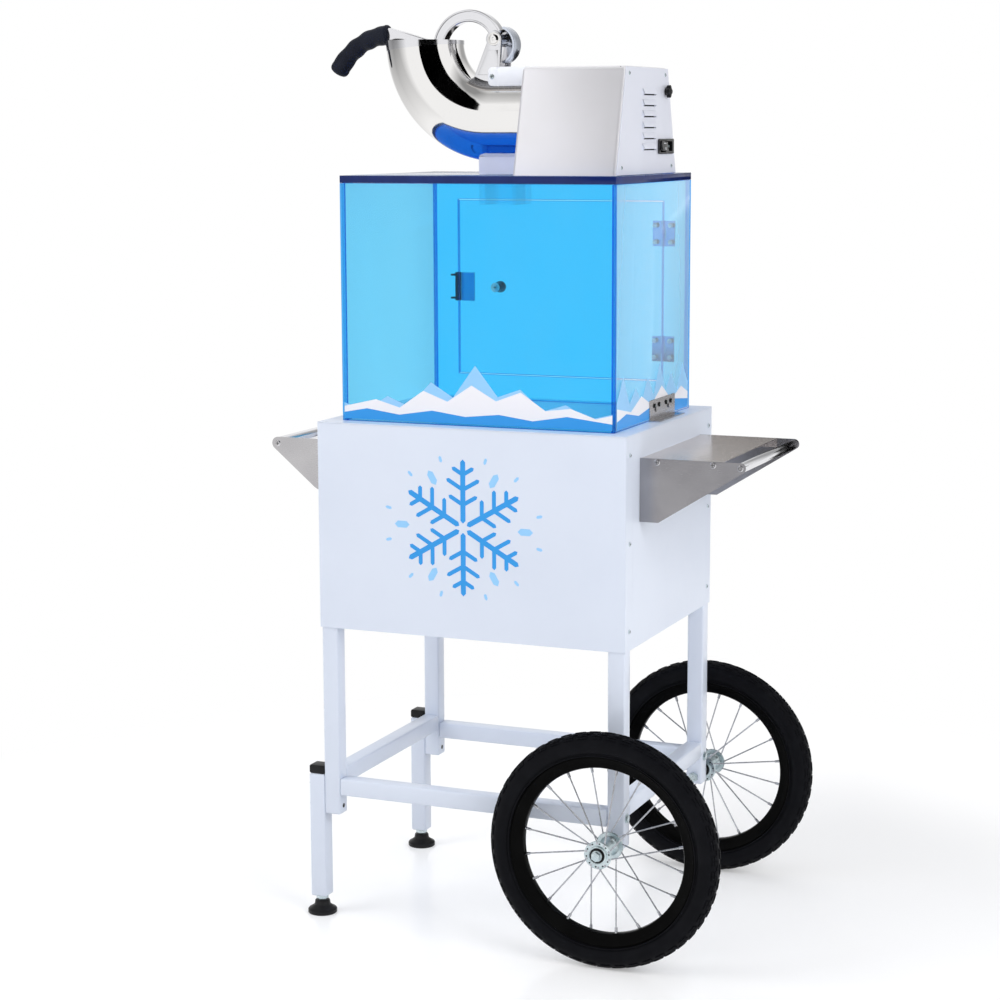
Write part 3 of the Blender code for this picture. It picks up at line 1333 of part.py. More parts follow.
def build_lever(cart):
    """Crushing lever: ring, hub, cam, pusher and handle arm, and its grip."""
    place = (HOPPER_X, 0, PIVOT_Z)
    centre = (RING_RADIUS * math.cos(RING_TILT), RING_RADIUS * math.sin(RING_TILT))
    half = RING_WIDTH / 2
    bm = bmesh.new()
    band = arc_band(
        centre, RING_RADIUS, RING_SECTION, RING_TILT - math.pi, RING_TILT, RING_STEPS
    )
    prism(bm, band, "Y", -half, half)
    lever = add_piece("lever", bm, POLISHED, place, cart, smooth=True)
    hub_reach = POST_WIDTH / 2 - POST_CHEEK - GAP
    hub = bmesh.new()
    rod(hub, (0, -hub_reach, 0), (0, hub_reach, 0), LEVER_HUB_RADIUS, 20)
    weld(lever, hub, "hub")
    weld(lever, cam_shape(half, hub_reach), "cam")
    arm = bmesh.new()
    start = RING_TILT - PUSHER_OVERLAP
    end = math.pi + PUSHER_ANGLE
    section = PUSHER_ARM_SECTION
    pusher_band = arc_band((0, 0), 2 * RING_RADIUS, section, start, end, 10)
    prism(arm, pusher_band, "Y", -section / 2, section / 2)
    weld(lever, arm, "pusher_arm")
    weld(lever, pusher_plate(), "pusher")
    root = (-BEND_RADIUS - HOPPER_RADIUS + GRIP_INSET, ARM_RISE)
    weld(lever, handle_arm(centre, root), "arm")
    bore = bmesh.new()
    rod(bore, (0, -POST_WIDTH, 0), (0, POST_WIDTH, 0), PIVOT_BOLT_RADIUS + GAP, 16)
    cut(lever, bore, "bore")
    build_grip(cart, place, root)


def cam_shape(start, end):
    """Cam beside the ring that works the switch as the lever comes down."""
    bm = bmesh.new()
    outline = [(0, 0)] + arc((0, -CAM_DROP), CAM_RADIUS, CAM_START, CAM_END, 12)
    middle = (start + end) / 2
    prism(bm, outline, "Y", middle - CAM_THICKNESS / 2, middle + CAM_THICKNESS / 2)
    return bm


def pusher_plate():
    """Round plate that fills the elbow's bore and pushes the ice."""
    angle = math.pi + PUSHER_ANGLE
    centre = Vector((BEND_RADIUS * math.cos(angle), 0, BEND_RADIUS * math.sin(angle)))
    run = Vector((-math.sin(angle), 0, math.cos(angle))) * PUSHER_THICKNESS / 2
    bm = bmesh.new()
    rod(bm, centre - run, centre + run, PUSHER_RADIUS, 28)
    return bm


def handle_arm(centre, root):
    """Round arm from the ring out over the mouth and into the grip."""
    reach = math.sqrt(RING_RADIUS ** 2 - (root[1] - centre[1]) ** 2)
    start = (centre[0] - reach, root[1])
    end = (root[0] - GRIP_SOCKET + GAP, root[1])
    bm = bmesh.new()
    sweep(bm, [start, root, end], [ARM_RADIUS] * 3, 16)
    return bm


def build_grip(cart, place, root):
    """Drooping black grip with finger bumps, bored for the arm."""
    points = []
    radii = []
    for ring in range(GRIP_RINGS):
        share = ring / (GRIP_RINGS - 1)
        points.append((
            root[0] - GRIP_LENGTH * share + GRIP_LENGTH * 0.1 * share ** 3,
            root[1] - GRIP_DROOP * share ** 2,
        ))
        wave = FINGER_BUMP_HEIGHT * math.sin(FINGER_BUMPS * 2 * math.pi * share)
        waist = (GRIP_RADIUS - GRIP_WAIST) * math.sin(math.pi * share)
        radii.append(GRIP_RADIUS - waist + wave * math.sin(math.pi * share))
    last = Vector(points[-1])
    run = (last - Vector(points[-2])).normalized()
    points.append(tuple(last + run * GRIP_RADIUS / 2))
    radii.append(GRIP_RADIUS * 0.75)
    bm = bmesh.new()
    sweep(bm, points, radii, GRIP_SIDES)
    grip = add_piece("lever_grip", bm, BLACK_RUBBER, place, cart, smooth=True)
    bore = bmesh.new()
    start = (root[0] + OVERLAP, 0, root[1])
    rod(bore, start, (root[0] - GRIP_SOCKET, 0, root[1]), ARM_RADIUS + GAP, 24)
    cut(grip, bore, "bore")


def build_crusher():
    """Build the whole cart with its crusher."""
    clear_scene()
    cart = bpy.data.objects.new("cart_middle", None)
    bpy.context.scene.collection.objects.link(cart)
    cart.location = (CART_X, 0, 0)
    build_legs(cart)
    build_rails(cart)
    for side, name in ((-1, "front"), (1, "back")):
        build_extension(cart, side, name)
        build_wheel(cart, side, name)
    build_cabinet(cart)
    build_handle(cart)
    build_shelf(cart)
    build_case(cart)
    build_door(cart)
    build_hopper(cart)
    build_neck(cart)
    build_post(cart)
    build_switch_box(cart)
    build_housing(cart)
    build_motor(cart)
    build_cutter(cart)
    build_inlet(cart)
    build_clamp(cart)
    build_lever(cart)


if __name__ == "__main__":
    build_crusher()
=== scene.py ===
"""Studio scene of an electric ice crusher on a two-wheeled cart."""

import logging
import math
from dataclasses import dataclass
from enum import Enum
from typing import Iterable, Optional, Sequence

import bmesh
import bpy
from mathutils import Matrix, Vector


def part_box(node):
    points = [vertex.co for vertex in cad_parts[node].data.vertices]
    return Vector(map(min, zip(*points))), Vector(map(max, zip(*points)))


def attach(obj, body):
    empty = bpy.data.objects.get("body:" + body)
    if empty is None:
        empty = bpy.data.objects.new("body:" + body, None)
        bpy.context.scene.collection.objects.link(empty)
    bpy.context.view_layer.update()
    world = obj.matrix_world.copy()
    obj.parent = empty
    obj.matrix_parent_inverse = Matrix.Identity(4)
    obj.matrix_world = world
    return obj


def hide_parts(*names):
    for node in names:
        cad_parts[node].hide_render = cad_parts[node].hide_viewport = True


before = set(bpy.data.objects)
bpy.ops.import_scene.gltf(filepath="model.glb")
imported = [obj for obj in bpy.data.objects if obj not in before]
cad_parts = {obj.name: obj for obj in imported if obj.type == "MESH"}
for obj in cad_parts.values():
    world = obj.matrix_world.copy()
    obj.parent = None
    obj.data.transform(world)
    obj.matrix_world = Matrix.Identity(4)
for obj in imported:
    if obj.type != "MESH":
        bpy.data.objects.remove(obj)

LOG = logging.getLogger("ice_crusher")
TURN = 2 * math.pi
QUARTER = math.pi / 2
MERGE = 1e-6
SLICE = 1e-7
PIVOT = (-0.06625, 0.0, 1.5455)
BEND = 0.142
OUTLET = (-0.08125, -0.03025)
OUTLET_HALF = 0.03
WHITE = (1.0, 1.0, 1.0, 1.0)
Point = Sequence[float]
Place = tuple[float, float, float]
Colour = tuple[float, float, float]


def turn_to(way: Point) -> Matrix:
    """Rotation that carries +Z onto a direction."""
    return Vector((0, 0, 1)).rotation_difference(Vector(way)).to_matrix().to_4x4()


def upright(angle: float, reach: float = 1.0, depth: float = 0.0) -> Vector:
    """Point of an upright circle, from +X towards +Z, and its depth along Y."""
    return Vector((reach * math.cos(angle), depth, reach * math.sin(angle)))


def verts_of(items: Iterable[object]) -> list:
    """The vertices among some mesh items."""
    return [item for item in items if isinstance(item, bmesh.types.BMVert)]


def edges_of(faces: Iterable[bmesh.types.BMFace]) -> list:
    """The edges of some faces, each once."""
    return list({edge for face in faces for edge in face.edges})


def new_object(name: str, bm: bmesh.types.BMesh) -> bpy.types.Object:
    """Turn a bmesh into an object of the scene.

    Args:
        name: Name of the object and its mesh.
        bm: Shape, which is freed.

    Returns:
        The new object.
    """
    data = bpy.data.meshes.new(name)
    bm.to_mesh(data)
    bm.free()
    made = bpy.data.objects.new(name, data)
    bpy.context.scene.collection.objects.link(made)
    return made


class Axis(Enum):
    """Direction that a turned, drilled or fastened shape points in."""

    X = (1.0, 0.0, 0.0)
    Y = (0.0, 1.0, 0.0)
    Z = (0.0, 0.0, 1.0)
    MINUS_X = (-1.0, 0.0, 0.0)
    MINUS_Y = (0.0, -1.0, 0.0)

    def turn(self) -> Matrix:
        """Rotation that carries +Z onto this direction."""
        return turn_to(self.value)

    @classmethod
    def facing(cls, side: int) -> "Axis":
        """+Y for the back side, 1, and -Y for the front side, -1."""
        return cls.Y if side > 0 else cls.MINUS_Y


class Body(Enum):
    """Moving body that a piece rides on."""

    CART = "cart"
    FRONT_WHEEL = "front_wheel"
    BACK_WHEEL = "back_wheel"
    FRONT_FOOT = "front_foot"
    BACK_FOOT = "back_foot"
    DOOR = "rear_door"
    LEVER = "crushing_lever"
    ROCKER = "rocker"
    CLAMP = "clamp"


class Slot(Enum):
    """Material slot of the record that a piece takes its finish from."""

    WHITE_PAINT = "white_paint"
    STAINLESS = "stainless"
    POLISHED = "polished_steel"
    ZINC = "zinc"
    ACRYLIC = "blue_acrylic"
    BLACK_PLASTIC = "black_plastic"
    BLACK_GLOSS = "black_gloss"
    GRIP = "grip_rubber"
    TYRE = "tyre_rubber"
    WHITE_PLASTIC = "white_plastic"


class Mesh:
    """A bmesh in the making, with the few shaping steps that the pieces share."""

    def __init__(self) -> None:
        """Start an empty mesh."""
        self.bm = bmesh.new()

    def tag(self, verts: Iterable[bmesh.types.BMVert], finish: int) -> None:
        """Give the faces of new vertices a material index.

        Args:
            verts: Vertices whose faces are marked.
            finish: Index of the material slot.
        """
        for face in {face for vert in verts for face in vert.link_faces}:
            face.material_index = finish

    def soften(self, edges: Sequence[bmesh.types.BMEdge], radius: float,
               segments: int = 2) -> list:
        """Round some edges.

        Args:
            edges: Edges to round.
            radius: Radius of the rounding.
            segments: Facets across it.

        Returns:
            The vertices of the rounded faces.
        """
        cut = bmesh.ops.bevel(
            self.bm, geom=edges, offset=radius, offset_type="OFFSET", segments=segments,
            profile=0.5, affect="EDGES", material=-1, clamp_overlap=True,
        )
        return list({vert for face in cut["faces"] for vert in face.verts})

    def push(self, geom: Sequence[object], run: Point) -> list:
        """Extrude some faces and move the new ones.

        Args:
            geom: Faces to extrude, with or without their edges and vertices.
            run: Way that the new faces go.

        Returns:
            The new vertices, edges and faces.
        """
        grown = bmesh.ops.extrude_face_region(self.bm, geom=geom)["geom"]
        bmesh.ops.translate(self.bm, verts=verts_of(grown), vec=Vector(run))
        return grown

    def block(self, low: Point, high: Point, bevel: float = 0.0, segments: int = 2,
              finish: int = 0, turn: Optional[Matrix] = None) -> list:
        """Add a box between two corners, with its edges rounded.

        Args:
            low: Lowest corner.
            high: Highest corner.
            bevel: Edge radius; none at 0.
            segments: Facets in each rounded edge.
            finish: Index of the material slot.
            turn: Placement applied after the box is sized, about its middle.

        Returns:
            The vertices of the box.
        """
        low, high = Vector(low), Vector(high)
        size = Matrix.Diagonal((*(high - low), 1.0))
        place = Matrix.Translation((low + high) / 2)
        place = place @ (turn or Matrix.Identity(4)) @ size
        verts = bmesh.ops.create_cube(self.bm, size=1.0, matrix=place)["verts"]
        if bevel > 0:
            edges = list({edge for vert in verts for edge in vert.link_edges})
            verts = self.soften(edges, bevel, segments)
        self.tag(verts, finish)
        return verts

    def rod(self, start: Point, end: Point, radius: float, sides: int = 24,
            tip: Optional[float] = None, bevel: float = 0.0, finish: int = 0) -> None:
        """Add a round bar or cone between two points.

        Args:
            start: Middle of the first end.
            end: Middle of the far end.
            radius: Radius at the first end.
            sides: Number of facets round it.
            tip: Radius at the far end, if it differs.
            bevel: Radius of the rounded rims.
            finish: Index of the material slot.
        """
        start, end = Vector(start), Vector(end)
        run = end - start
        place = Matrix.Translation((start + end) / 2)
        verts = bmesh.ops.create_cone(
            self.bm, cap_ends=True, segments=sides, radius1=radius,
            radius2=radius if tip is None else tip, depth=run.length,
            matrix=place @ turn_to(run),
        )["verts"]
        if bevel > 0:
            caps = {face for vert in verts for face in vert.link_faces if len(face.verts) > 4}
            verts = self.soften(edges_of(caps), bevel)
        self.tag(verts, finish)

    def lathe(self, profile: Sequence[Point], axis: Axis, centre: Point, steps: int = 48,
              finish: int = 0, closed: bool = False) -> list:
        """Spin a profile of (radius, height) pairs all the way round an axis.

        Args:
            profile: Radius and height of each point, in order.
            axis: Direction of the height.
            centre: Point on the axis that heights start from.
            steps: Number of facets round.
            finish: Index of the material slot.
            closed: True joins the last point to the first, as in a ring.

        Returns:
            The vertices of the turned shape.
        """
        place = Matrix.Translation(Vector(centre)) @ axis.turn()
        old = set(self.bm.verts)
        line = [self.bm.verts.new(place @ Vector((r, 0, h))) for r, h in profile]
        pairs = list(zip(line, line[1:] + (line[:1] if closed else [])))
        edges = [self.bm.edges.new(pair) for pair in pairs if pair[0] is not pair[1]]
        bmesh.ops.spin(
            self.bm, geom=line + edges, cent=Vector(centre), axis=Vector(axis.value),
            angle=TURN, steps=steps, use_merge=True,
        )
        verts = [vert for vert in self.bm.verts if vert not in old]
        bmesh.ops.remove_doubles(self.bm, verts=verts, dist=MERGE)
        verts = [vert for vert in self.bm.verts if vert not in old]
        self.tag(verts, finish)
        return verts

    def sweep(self, path: Sequence[Point], radii: Sequence[float], sides: int = 16,
              finish: int = 0) -> None:
        """Run a circle along a path, with a radius at each point and closed ends.

        Args:
            path: Points of the middle line.
            radii: Radius at each point.
            sides: Number of facets round.
            finish: Index of the material slot.
        """
        points = [Vector(point) for point in path]
        last = len(points) - 1
        runs = [
            (points[min(i + 1, last)] - points[max(i - 1, 0)]).normalized()
            for i in range(last + 1)
        ]
        place = Matrix.Translation(points[0]) @ turn_to(runs[0]) @ Matrix.Scale(radii[0], 4)
        ring = bmesh.ops.create_circle(
            self.bm, cap_ends=False, segments=sides, radius=1.0, matrix=place,
        )["verts"]
        made = list(ring)
        bmesh.ops.contextual_create(self.bm, geom=ring)
        edges = list({edge for vert in ring for edge in vert.link_edges})
        for i in range(1, last + 1):
            grown = bmesh.ops.extrude_edge_only(self.bm, edges=edges)["geom"]
            ring = verts_of(grown)
            edges = [item for item in grown if isinstance(item, bmesh.types.BMEdge)]
            bend = runs[i - 1].rotation_difference(runs[i]).to_matrix().to_4x4()
            scale = Matrix.Scale(radii[i] / radii[i - 1], 4)
            move = Matrix.Translation(points[i]) @ bend @ scale
            bmesh.ops.transform(
                self.bm, matrix=move @ Matrix.Translation(-points[i - 1]), verts=ring,
            )
            made += ring
        bmesh.ops.contextual_create(self.bm, geom=ring)
        self.tag(made, finish)

    def panel(self, outline: Sequence[Point], run: Point, finish: int = 0,
              bevel: float = 0.0) -> None:
        """Extrude a flat outline into a plate.

        Args:
            outline: Corners in order, in one plane.
            run: Thickness as a vector.
            finish: Index of the material slot.
            bevel: Radius of the rims of both faces.
        """
        verts = [self.bm.verts.new(point) for point in outline]
        face = self.bm.faces.new(verts)
        grown = self.push([face], run)
        made = verts + verts_of(grown)
        if bevel > 0:
            faces = [item for item in grown if isinstance(item, bmesh.types.BMFace)]
            made += self.soften(edges_of(faces + [face]), bevel)
        self.tag([vert for vert in made if vert.is_valid], finish)

    def sheet(self, outline: Sequence[Point], run: Point, holes: Sequence[Sequence[Point]] = (),
              finish: int = 0, edge: float = 0.0) -> None:
        """Make a flat sheet with square holes, in a mesh that holds nothing else yet.

        Args:
            outline: Corners in order, in one plane across one of the axes.
            run: Thickness as a vector along that axis.
            holes: Lowest and highest corner of each opening.
            finish: Index of the material slot.
            edge: Radius of all the rims; none at 0.
        """
        bm, run = self.bm, Vector(run)
        across = [axis for axis in range(3) if abs(run[axis]) < SLICE]
        bm.faces.new([bm.verts.new(corner) for corner in outline])
        for axis in across:
            plane = Vector((0, 0, 0))
            plane[axis] = 1.0
            for place in sorted({corner[axis] for hole in holes for corner in hole}):
                bmesh.ops.bisect_plane(
                    bm, geom=bm.verts[:] + bm.edges[:] + bm.faces[:], dist=SLICE,
                    plane_co=plane * place, plane_no=plane,
                )
        gone = []
        for face in bm.faces:
            middle = face.calc_center_median()
            if any(all(low[a] < middle[a] < high[a] for a in across) for low, high in holes):
                gone.append(face)
        bmesh.ops.delete(bm, geom=gone, context="FACES")
        flat = [item for item in bm.edges if item.calc_face_angle(1.0) < 0.01]
        if not holes:
            bmesh.ops.dissolve_edges(bm, edges=flat, use_verts=True)
        self.push(bm.verts[:] + bm.edges[:] + bm.faces[:], run)
        bmesh.ops.recalc_face_normals(bm, faces=bm.faces[:])
        if edge > 0:
            self.soften([item for item in bm.edges if item.calc_face_angle(0.0) > 1.0], edge)
        self.tag(bm.verts, finish)

    def arch(self, profile: Sequence[Point], centre: Point, start: float, turn: float,
             steps: int, finish: int = 0) -> None:
        """Spin a closed profile part of the way round an upright circle.

        Args:
            profile: Radius and depth of each corner of the section, in order.
            centre: Middle of the circle.
            start: Angle of the first section, from +X towards +Z.
            turn: Angle that the shape spans.
            steps: Number of facets along it.
            finish: Index of the material slot.
        """
        old = set(self.bm.verts)
        centre = Vector(centre)
        line = [self.bm.verts.new(centre + upright(start, r, d)) for r, d in profile]
        face = self.bm.faces.new(line)
        geom = line + list(face.edges) + [face]
        bmesh.ops.spin(self.bm, geom=geom, cent=centre, axis=(0, -1, 0), angle=turn, steps=steps)
        self.tag([vert for vert in self.bm.verts if vert not in old], finish)

    def move(self, verts: Iterable[bmesh.types.BMVert], matrix: Matrix) -> None:
        """Apply a placement to some vertices.

        Args:
            verts: Vertices to move.
            matrix: Placement.
        """
        bmesh.ops.transform(self.bm, matrix=matrix, verts=list({*verts}))


@dataclass
class Assembly:
    """A sub-assembly: builds its meshes and dresses them as pieces."""

    body: Body = Body.CART

    def dress(self, name: str, mesh: Mesh, finishes: Sequence["Finish"], slot: Slot,
              replaces: Sequence[str] = (), body: Optional[Body] = None,
              smooth: float = 35.0) -> None:
        """Turn a mesh into a finished piece that rides on its body.

        Args:
            name: Name of the piece.
            mesh: Shape of the piece, already in place.
            finishes: Finish of each material index.
            slot: Slot of the record that the finish belongs to; not used.
            replaces: Nodes that the piece stands for.
            body: Body it rides on, if not the assembly's own.
            smooth: Largest angle in degrees that is shaded as a curve.
        """
        bm = mesh.bm
        bmesh.ops.remove_doubles(bm, verts=bm.verts[:], dist=MERGE)
        bmesh.ops.recalc_face_normals(bm, faces=bm.faces[:])
        for face in bm.faces:
            face.smooth = True
        for edge in bm.edges:
            if len(edge.link_faces) == 2:
                edge.smooth = edge.calc_face_angle(0.0) < math.radians(smooth)
        piece = new_object(name, bm)
        for finish in finishes:
            piece.data.materials.append(finish.material())
        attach(piece, (body or self.body).value)
        if replaces:
            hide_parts(*replaces)
        LOG.info("%s: %d faces", name, len(piece.data.polygons))

    def coat(self, finish: "Finish", *nodes: str) -> None:
        """Give CAD nodes that stay in view a finish.

        Args:
            finish: Finish to apply.
            *nodes: Names of the nodes.
        """
        for node in nodes:
            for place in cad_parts[node].material_slots:
                place.material = finish.material()
            LOG.info("%s: coated", node)


class Graph:
    """The node tree of a material or of the world in the making."""

    def __init__(self, name: str, world: bool = False) -> None:
        """Start an empty tree.

        Args:
            name: Name of the material or world.
            world: True makes a world.
        """
        self.made = (bpy.data.worlds if world else bpy.data.materials).new(name)
        self.made.use_nodes = True
        self.tree = self.made.node_tree
        self.tree.nodes.clear()
        self.output = self.add("OutputWorld" if world else "OutputMaterial")
        self.places = self.add("TexCoord")

    def feed(self, socket: bpy.types.NodeSocket, value: object) -> None:
        """Link an input socket, or set its constant.

        Args:
            socket: Input socket.
            value: Output socket or constant.
        """
        if isinstance(value, bpy.types.NodeSocket):
            self.tree.links.new(value, socket)
        else:
            socket.default_value = value

    def add(self, kind: str, **values: object) -> bpy.types.Node:
        """Add a node and set its plain inputs and properties.

        Args:
            kind: Node type without its ShaderNode prefix.
            **values: Properties, or inputs by name with spaces as underscores.

        Returns:
            The node.
        """
        node = self.tree.nodes.new("ShaderNode" + kind)
        for key, value in values.items():
            socket = node.inputs.get(key.replace("_", " "))
            if socket is None:
                setattr(node, key, value)
            else:
                self.feed(socket, value)
        return node

    def wire(self, kind: str, *values: object, **rest: object) -> bpy.types.NodeSocket:
        """Add a node and feed its inputs in their order.

        Args:
            kind: Node type without its ShaderNode prefix.
            *values: Sockets or constants.
            **rest: Properties.

        Returns:
            Its first output socket.
        """
        node = self.add(kind, **rest)
        for socket, value in zip(node.inputs, values):
            self.feed(socket, value)
        return node.outputs[0]

    def seen(self) -> bpy.types.NodeSocket:
        """1 to the camera and to reflections, and 0 to light on surfaces."""
        path = self.add("LightPath").outputs
        return self.wire("Math", path["Is Camera Ray"], path["Is Glossy Ray"], operation="MAXIMUM")

    def close(self, surface: bpy.types.NodeSocket) -> bpy.types.ID:
        """Link the last shader to the output; gives the material or world."""
        self.feed(self.output.inputs["Surface"], surface)
        return self.made

    def noise(self, scale: float, detail: float = 2.0, stretch: Point = (1, 1, 1),
              roughness: float = 0.5) -> bpy.types.NodeSocket:
        """Noise on object coordinates.

        Args:
            scale: Grains per metre.
            detail: Number of octaves.
            stretch: Scale of each axis, for grain in one direction.
            roughness: Strength of the fine octaves.

        Returns:
            Factor socket.
        """
        place = self.add("Mapping", Vector=self.places.outputs["Object"], Scale=stretch)
        node = self.add(
            "TexNoise", Vector=place.outputs[0], Scale=scale, Detail=detail,
            Roughness=roughness,
        )
        return node.outputs["Fac"]

    def cells(self, scale: float) -> bpy.types.NodeSocket:
        """Cell distance on object coordinates, for speckle and spangle.

        Args:
            scale: Cells per metre.

        Returns:
            Distance socket.
        """
        place = self.places.outputs["Object"]
        return self.add("TexVoronoi", Vector=place, Scale=scale).outputs["Distance"]

    def span(self, factor: bpy.types.NodeSocket, low: float, high: float,
             start: float = 0.0, end: float = 1.0) -> bpy.types.NodeSocket:
        """Map a factor's range to another.

        Args:
            factor: Input factor.
            low: Value at the range's start.
            high: Value at the range's end.
            start: Start of the range.
            end: End of the range.

        Returns:
            Value socket.
        """
        node = self.add(
            "MapRange", Value=factor, From_Min=start, From_Max=end, To_Min=low, To_Max=high,
        )
        return node.outputs["Result"]

    def blend(self, factor: bpy.types.NodeSocket, first: Colour,
              second: Colour) -> bpy.types.NodeSocket:
        """Blend two colours by a factor.

        Args:
            factor: 0 shows the first colour and 1 the second.
            first: First colour.
            second: Second colour.

        Returns:
            Colour socket.
        """
        node = self.add("Mix", data_type="RGBA")
        for index, value in ((0, factor), (6, (*first, 1.0)), (7, (*second, 1.0))):
            self.feed(node.inputs[index], value)
        return node.outputs[2]

    def bump(self, height: bpy.types.NodeSocket, depth: float,
             strength: float = 1.0) -> bpy.types.NodeSocket:
        """Turn a height into a normal.

        Args:
            height: Height factor.
            depth: Depth of the relief in metres.
            strength: Share of the relief that shows.

        Returns:
            Normal socket.
        """
        node = self.add("Bump", Height=height, Distance=depth, Strength=strength)
        return node.outputs["Normal"]

    def surface(self, **values: object) -> bpy.types.Material:
        """Close the material with one Principled shader.

        Args:
            **values: Inputs of the shader, with spaces as underscores.

        Returns:
            The material.
        """
        return self.close(self.add("BsdfPrincipled", **values).outputs[0])


@dataclass(frozen=True)
class Finish:
    """A finish of the machine, made once as a material."""

    name: str

    def material(self) -> bpy.types.Material:
        """The finish's material, made the first time it is asked for."""
        return bpy.data.materials.get(self.name) or self.build()

    def build(self) -> bpy.types.Material:
        """Make the material.

        Returns:
            The new material.
        """
        raise NotImplementedError


@dataclass(frozen=True)
class Paint(Finish):
    """Powder coat: faint orange peel, with rubbed and dusty patches."""

    colour: Colour
    dust: Colour
    roughness: float = 0.34
    peel: float = 420.0
    depth: float = 0.00004

    def build(self) -> bpy.types.Material:
        """Make the powder coat."""
        graph = Graph(self.name)
        cloud = graph.noise(5.0, 4.0)
        grime = graph.span(cloud, 0.0, 0.55, 0.42, 0.8)
        rough = graph.span(graph.noise(34.0, 3.0), self.roughness - 0.07, self.roughness + 0.1)
        return graph.surface(
            Base_Color=graph.blend(grime, self.colour, self.dust), Roughness=rough,
            Coat_Weight=0.25, Coat_Roughness=0.18,
            Normal=graph.bump(graph.noise(self.peel, 1.0), self.depth, 0.5),
        )


@dataclass(frozen=True)
class Brushed(Finish):
    """Metal sheet with grain along one axis, and clouded finger marks."""

    colour: Colour
    shade: Colour
    roughness: float
    spread: float
    grain: Point
    depth: float = 0.00003
    metal: float = 1.0

    def build(self) -> bpy.types.Material:
        """Make the brushed metal."""
        graph = Graph(self.name)
        lines = graph.noise(60.0, 4.0, self.grain, 0.7)
        cloud = graph.noise(9.0, 3.0)
        marks = graph.span(cloud, 0.0, 1.0, 0.35, 0.75)
        low, high = self.roughness - self.spread, self.roughness + self.spread
        patches = graph.span(cloud, -self.spread / 3, self.spread / 2)
        rough = graph.wire("Math", graph.span(lines, low, high), patches, operation="ADD")
        return graph.surface(
            Base_Color=graph.blend(marks, self.colour, self.shade), Metallic=self.metal,
            Roughness=rough, Normal=graph.bump(lines, self.depth, 0.35),
        )


@dataclass(frozen=True)
class Polish(Finish):
    """Mirror-polished metal with faint wipe marks and fine ripple."""

    colour: Colour
    shade: Colour
    roughness: float
    ripple: float = 0.0001

    def build(self) -> bpy.types.Material:
        """Make the polished metal."""
        graph = Graph(self.name)
        wipes = graph.noise(14.0, 5.0, (1.0, 1.0, 0.35), 0.6)
        rough = graph.span(wipes, self.roughness, self.roughness + 0.1, 0.45, 0.85)
        return graph.surface(
            Base_Color=graph.blend(graph.noise(6.0, 2.0), self.colour, self.shade),
            Metallic=1.0, Roughness=rough,
            Normal=graph.bump(graph.noise(22.0, 1.0), self.ripple, 0.25),
        )


@dataclass(frozen=True)
class Plated(Finish):
    """Zinc plating: cool grey with a spangle of brighter and duller cells."""

    colour: Colour
    shade: Colour
    roughness: float = 0.28

    def build(self) -> bpy.types.Material:
        """Make the plating."""
        graph = Graph(self.name)
        spangle = graph.cells(420.0)
        tint = graph.span(graph.noise(70.0, 3.0), 0.0, 1.0, 0.3, 0.7)
        return graph.surface(
            Base_Color=graph.blend(tint, self.colour, self.shade), Metallic=1.0,
            Roughness=graph.span(spangle, self.roughness - 0.08, self.roughness + 0.14),
            Normal=graph.bump(graph.noise(900.0, 2.0), 0.00003, 0.4),
        )


@dataclass(frozen=True)
class Moulded(Finish):
    """Moulded plastic or rubber with a leather-like or sanded skin."""

    colour: Colour
    worn: Colour
    roughness: float
    grain: float
    depth: float
    coat: float = 0.0
    shine: float = 0.5

    def build(self) -> bpy.types.Material:
        """Make the moulding."""
        graph = Graph(self.name)
        skin = graph.cells(self.grain)
        wear = graph.span(graph.noise(26.0, 4.0), 0.0, 1.0, 0.45, 0.8)
        rough = graph.span(graph.noise(90.0, 3.0), self.roughness - 0.08, self.roughness + 0.08)
        return graph.surface(
            Base_Color=graph.blend(wear, self.colour, self.worn), Roughness=rough,
            Coat_Weight=self.coat, Specular_IOR_Level=self.shine,
            Normal=graph.bump(skin, self.depth, 0.5),
        )


@dataclass(frozen=True)
class ClearSheet(Finish):
    """Tinted clear acrylic: light passes with a tint, and at a slant a glossy layer of the body
    colour grows; where that colour is pale it is a painted sheen standing in for the sheet's
    reflection.
    """

    tint: Colour
    # body: a pale colour here paints the sheen that the sheet reflects at a slant; the gloss laid
    # over it is real.
    body: Colour = (0.72, 0.86, 1.0)
    haze: float = 0.03
    # gloss: how strongly the layer with its painted sheen grows at a slant.
    gloss: float = 0.85

    def build(self) -> bpy.types.Material:
        """Make the clear sheet."""
        graph = Graph(self.name)
        smear = graph.noise(7.0, 4.0, (1.0, 1.0, 0.6))
        rough = graph.span(smear, 0.03, 0.1, 0.4, 0.8)
        through = graph.add("BsdfTransparent", Color=(*self.tint, 1.0))
        gloss = graph.add(
            "BsdfPrincipled", Base_Color=graph.blend(smear, self.body, self.tint),
            Roughness=rough, IOR=1.49,
        )
        slant = graph.add("LayerWeight", Blend=0.5).outputs["Facing"]
        growth = graph.wire("Math", slant, 4.0, operation="POWER")
        haze = graph.span(smear, 0.01, 0.01 + self.haze, 0.35, 0.8)
        # The veil shows the body colour: a painted sheen that grows at a slant, with a faint share
        # head-on.
        veil = graph.wire("Math", growth, self.gloss, haze, operation="MULTIPLY_ADD",
                          use_clamp=True)
        return graph.close(graph.wire("MixShader", veil, through.outputs[0], gloss.outputs[0]))


